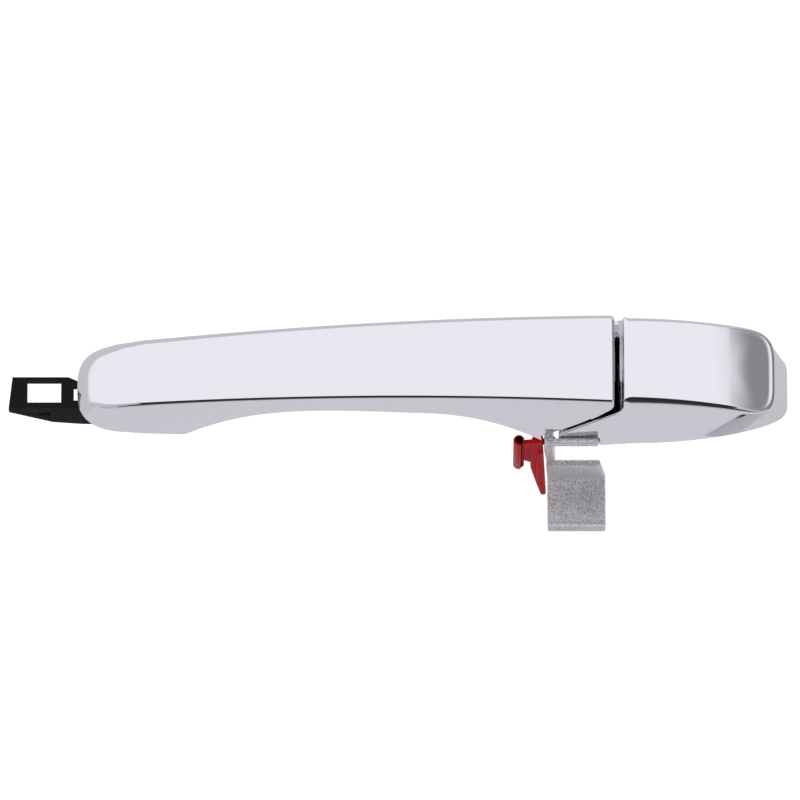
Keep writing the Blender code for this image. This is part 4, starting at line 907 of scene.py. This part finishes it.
def soften(name, node, body, material, width, steps=3):
    """A copy of a CAD node's solid: doubles merged, flat facets joined and the edges rounded by a width."""
    bm = bmesh.new()
    bm.from_mesh(bpy.data.objects[node].data)
    bmesh.ops.remove_doubles(bm, verts=bm.verts, dist=2e-6)
    bmesh.ops.dissolve_limit(bm, angle_limit=np.radians(0.6), verts=bm.verts, edges=bm.edges)
    mesh = bpy.data.meshes.new(name)
    bm.to_mesh(mesh)
    bm.free()
    piece = link_object(name, mesh, material)
    rounding = piece.modifiers.new("mould_corners", "BEVEL")
    rounding.width = width
    rounding.segments = steps
    rounding.limit_method = "ANGLE"
    rounding.angle_limit = np.radians(40)
    mesh.shade_smooth()
    mesh.set_sharp_from_angle(angle=np.radians(50))
    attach(piece, body)
    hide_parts(node)
    return piece


x = np.linspace(-69.8 * MM, -57.0 * MM, 26)
grid, ends = strip_grid(x, grip_back(x) + 0.8 * MM, 3.3 * MM, half=8.0 * MM, edge=0.9 * MM)
ribs = 0.25 * MM * np.cos(2 * pi * (grid[..., 2]) / (2.0 * MM))
grid[..., 1] += np.where(grid[..., 1] > grip_back(grid[..., 0]) + 0.75 * MM, ribs - 0.25 * MM, 0)
bumper = put_surface("heel_bumper_moulded", grid, RUBBER, ends)
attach(bumper, "grip")
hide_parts("heel_bumper")
soften("nose_pad_moulded", "nose_pad", "grip", RUBBER, 0.3 * MM)
soften("cap_gasket_moulded", "cap_gasket", "cap", RUBBER, 0.3 * MM)

# ---- nylon: foot, core and carrier ---------------------------------------------------------------------
# The load path behind the chrome: glass-filled nylon mouldings, black, with the soft corners that a mould
# gives. The foot hooks behind the door skin, the core runs through the grip, the carrier closes the cap.


def glass_filled_nylon(name):
    """Moulded nylon with glass fibre: black, with a low gloss, a pebbled skin and faint fibre streaks."""
    material = blank_material(name)
    tree = material.node_tree
    place = add_node(tree, "ShaderNodeTexCoord")
    stretch = add_node(
        tree, "ShaderNodeMapping", [("Vector", place.outputs["Object"]), ("Scale", (0.15, 1.0, 1.0))]
    )
    # Fibres lie along the flow, about 0.3 mm apart where they show on the skin.
    streaks = add_node(
        tree, "ShaderNodeTexNoise", [("Vector", stretch.outputs[0]), ("Scale", 1800.0), ("Detail", 3.0)]
    ).outputs[0]
    tint = add_blend(tree, streaks, linear("040507"), linear("101317"))
    rough = add_range(tree, streaks, 0.3, 0.7, 0.20, 0.32)
    pebble = add_noise(tree, 2200.0, ("Detail", 2.0))
    return close_material(
        material, tint, rough, (0.25, 0.00005, pebble), ("IOR", 1.53), ("Specular IOR Level", 0.1)
    )


NYLON = glass_filled_nylon("black_glass_filled_nylon")
soften("pivot_foot_moulded", "pivot_foot", "grip", NYLON, 0.6 * MM, steps=4)
soften("cap_carrier_moulded", "cap_carrier", "cap", NYLON, 0.3 * MM)
soften("grip_core_moulded", "grip_core", "grip", NYLON, 0.3 * MM)

# ---- screws and the sheet nut --------------------------------------------------------------------------
# Pan head screws of plated steel with a hexagon socket and a cut thread, and the pressed nut that the cap's
# own screw pulls against.


def plated_screw_steel(name):
    """Zinc-nickel plated steel: mid grey metal with a smeared, soft sheen."""
    material = blank_material(name)
    tree = material.node_tree
    smear = add_noise(tree, 1200.0, ("Detail", 4.0))
    tint = add_blend(tree, smear, linear("8E9095"), linear("C2C4C8"))
    rough = add_range(tree, smear, 0.3, 0.7, 0.24, 0.42)
    return close_material(material, tint, rough, (0.2, 0.00003, smear), ("Metallic", 1.0))


SCREW_STEEL = plated_screw_steel("plated_screw_steel")
PITCH = 0.9 * MM
THREAD_DEPTH = 0.18 * MM
SHANK = 1.5 * MM
SOCKET = 1.2 * MM
SOCKET_FLOOR = 0.8 * MM
HEAD_HEIGHT = 1.7 * MM
HEAD_RADIUS = 3.0 * MM
HEAD_ROUND = 0.7 * MM


def screw_grid(seat, axis, length):
    """A screw turned about its axis: radius as a function of height and angle.

    The socket is a hexagon, R cos 30 / cos(angle within its sixth). The thread is a triangle wave of the
    height over the pitch less the angle over a turn, which fades in below the head.
    """
    angle = np.linspace(0, 2 * pi, 61)
    hexagon = SOCKET * np.cos(pi / 6) / np.cos(angle % (pi / 3) - pi / 6)
    one = np.ones_like(angle)
    crown = [
        (HEAD_RADIUS - HEAD_ROUND * (1 - np.sin(t)), HEAD_HEIGHT - HEAD_ROUND * (1 - np.cos(t)))
        for t in np.linspace(0, pi / 2, 7)
    ]
    profile = [
        (0, SOCKET_FLOOR), (hexagon * 0.98, SOCKET_FLOOR), (hexagon, SOCKET_FLOOR + 0.05 * MM),
        (hexagon, HEAD_HEIGHT - 0.1 * MM), (hexagon * 1.06, HEAD_HEIGHT), (2.2 * MM, HEAD_HEIGHT), *crown,
        (HEAD_RADIUS, 0.06 * MM), (HEAD_RADIUS - 0.06 * MM, 0), (SHANK, 0),
    ]
    point = [(0.9 * MM, 0.2 * MM - length), (0.5 * MM, -length), (0, -length)]
    height = np.linspace(0, length - 0.6 * MM, int(length / PITCH * 10))[:, None]
    wave = np.abs(((height / PITCH - angle / (2 * pi)) % 1) * 2 - 1)
    fade = np.clip(height / (1.2 * MM), 0, 1)
    thread = list(zip(SHANK - THREAD_DEPTH * fade * wave, -height))
    radius, level = (np.array([row[i] * one for row in [*profile, *thread, *point]]) for i in (0, 1))
    a, b = radius * np.cos(angle), radius * np.sin(angle)
    turned = {"X": (level, a, b), "Y": (a, level, b)}[axis]
    return np.stack(turned, -1) + np.array(seat)


BACK_SEATS = [float(grip_back(place)) / MM - HEAD_SINK / MM for place in BACK_SCREWS]
SCREWS = {
    "foot_screw_1": ("grip", (-204.0, -2.7, 0.0), "Y", 7.0),
    "foot_screw_2": ("grip", (-193.0, -2.7, 0.0), "Y", 7.0),
    "hook_screw_1": ("grip", (-44.4, -16.7, -4.5), "Y", 7.5),
    "hook_screw_2": ("grip", (-44.4, -16.7, 4.5), "Y", 7.5),
    "back_shell_screw_1": ("grip", (-150.0, BACK_SEATS[0], 0.0), "Y", 3.2),
    "back_shell_screw_2": ("grip", (-90.2, BACK_SEATS[1], 0.0), "Y", 3.2),
    "cover_screw_1": ("cap", (-14.0, -2.0, 0.0), "Y", 12.0),
    "cover_screw_2": ("cap", (8.0, -2.0, 0.0), "Y", 12.0),
    "cap_screw": ("cap", (24.3, 12.0, 0.0), "X", 16.0),
}
for node, (body, seat, axis, length) in SCREWS.items():
    grid = screw_grid(np.array(seat) * MM, axis, length * MM)
    screw = put_surface(node + "_threaded", grid, SCREW_STEEL, sharp=30)
    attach(screw, body)
    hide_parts(node)

soften("cap_screw_clip_pressed", "cap_screw_clip", "cap", ZINC, 0.12 * MM)
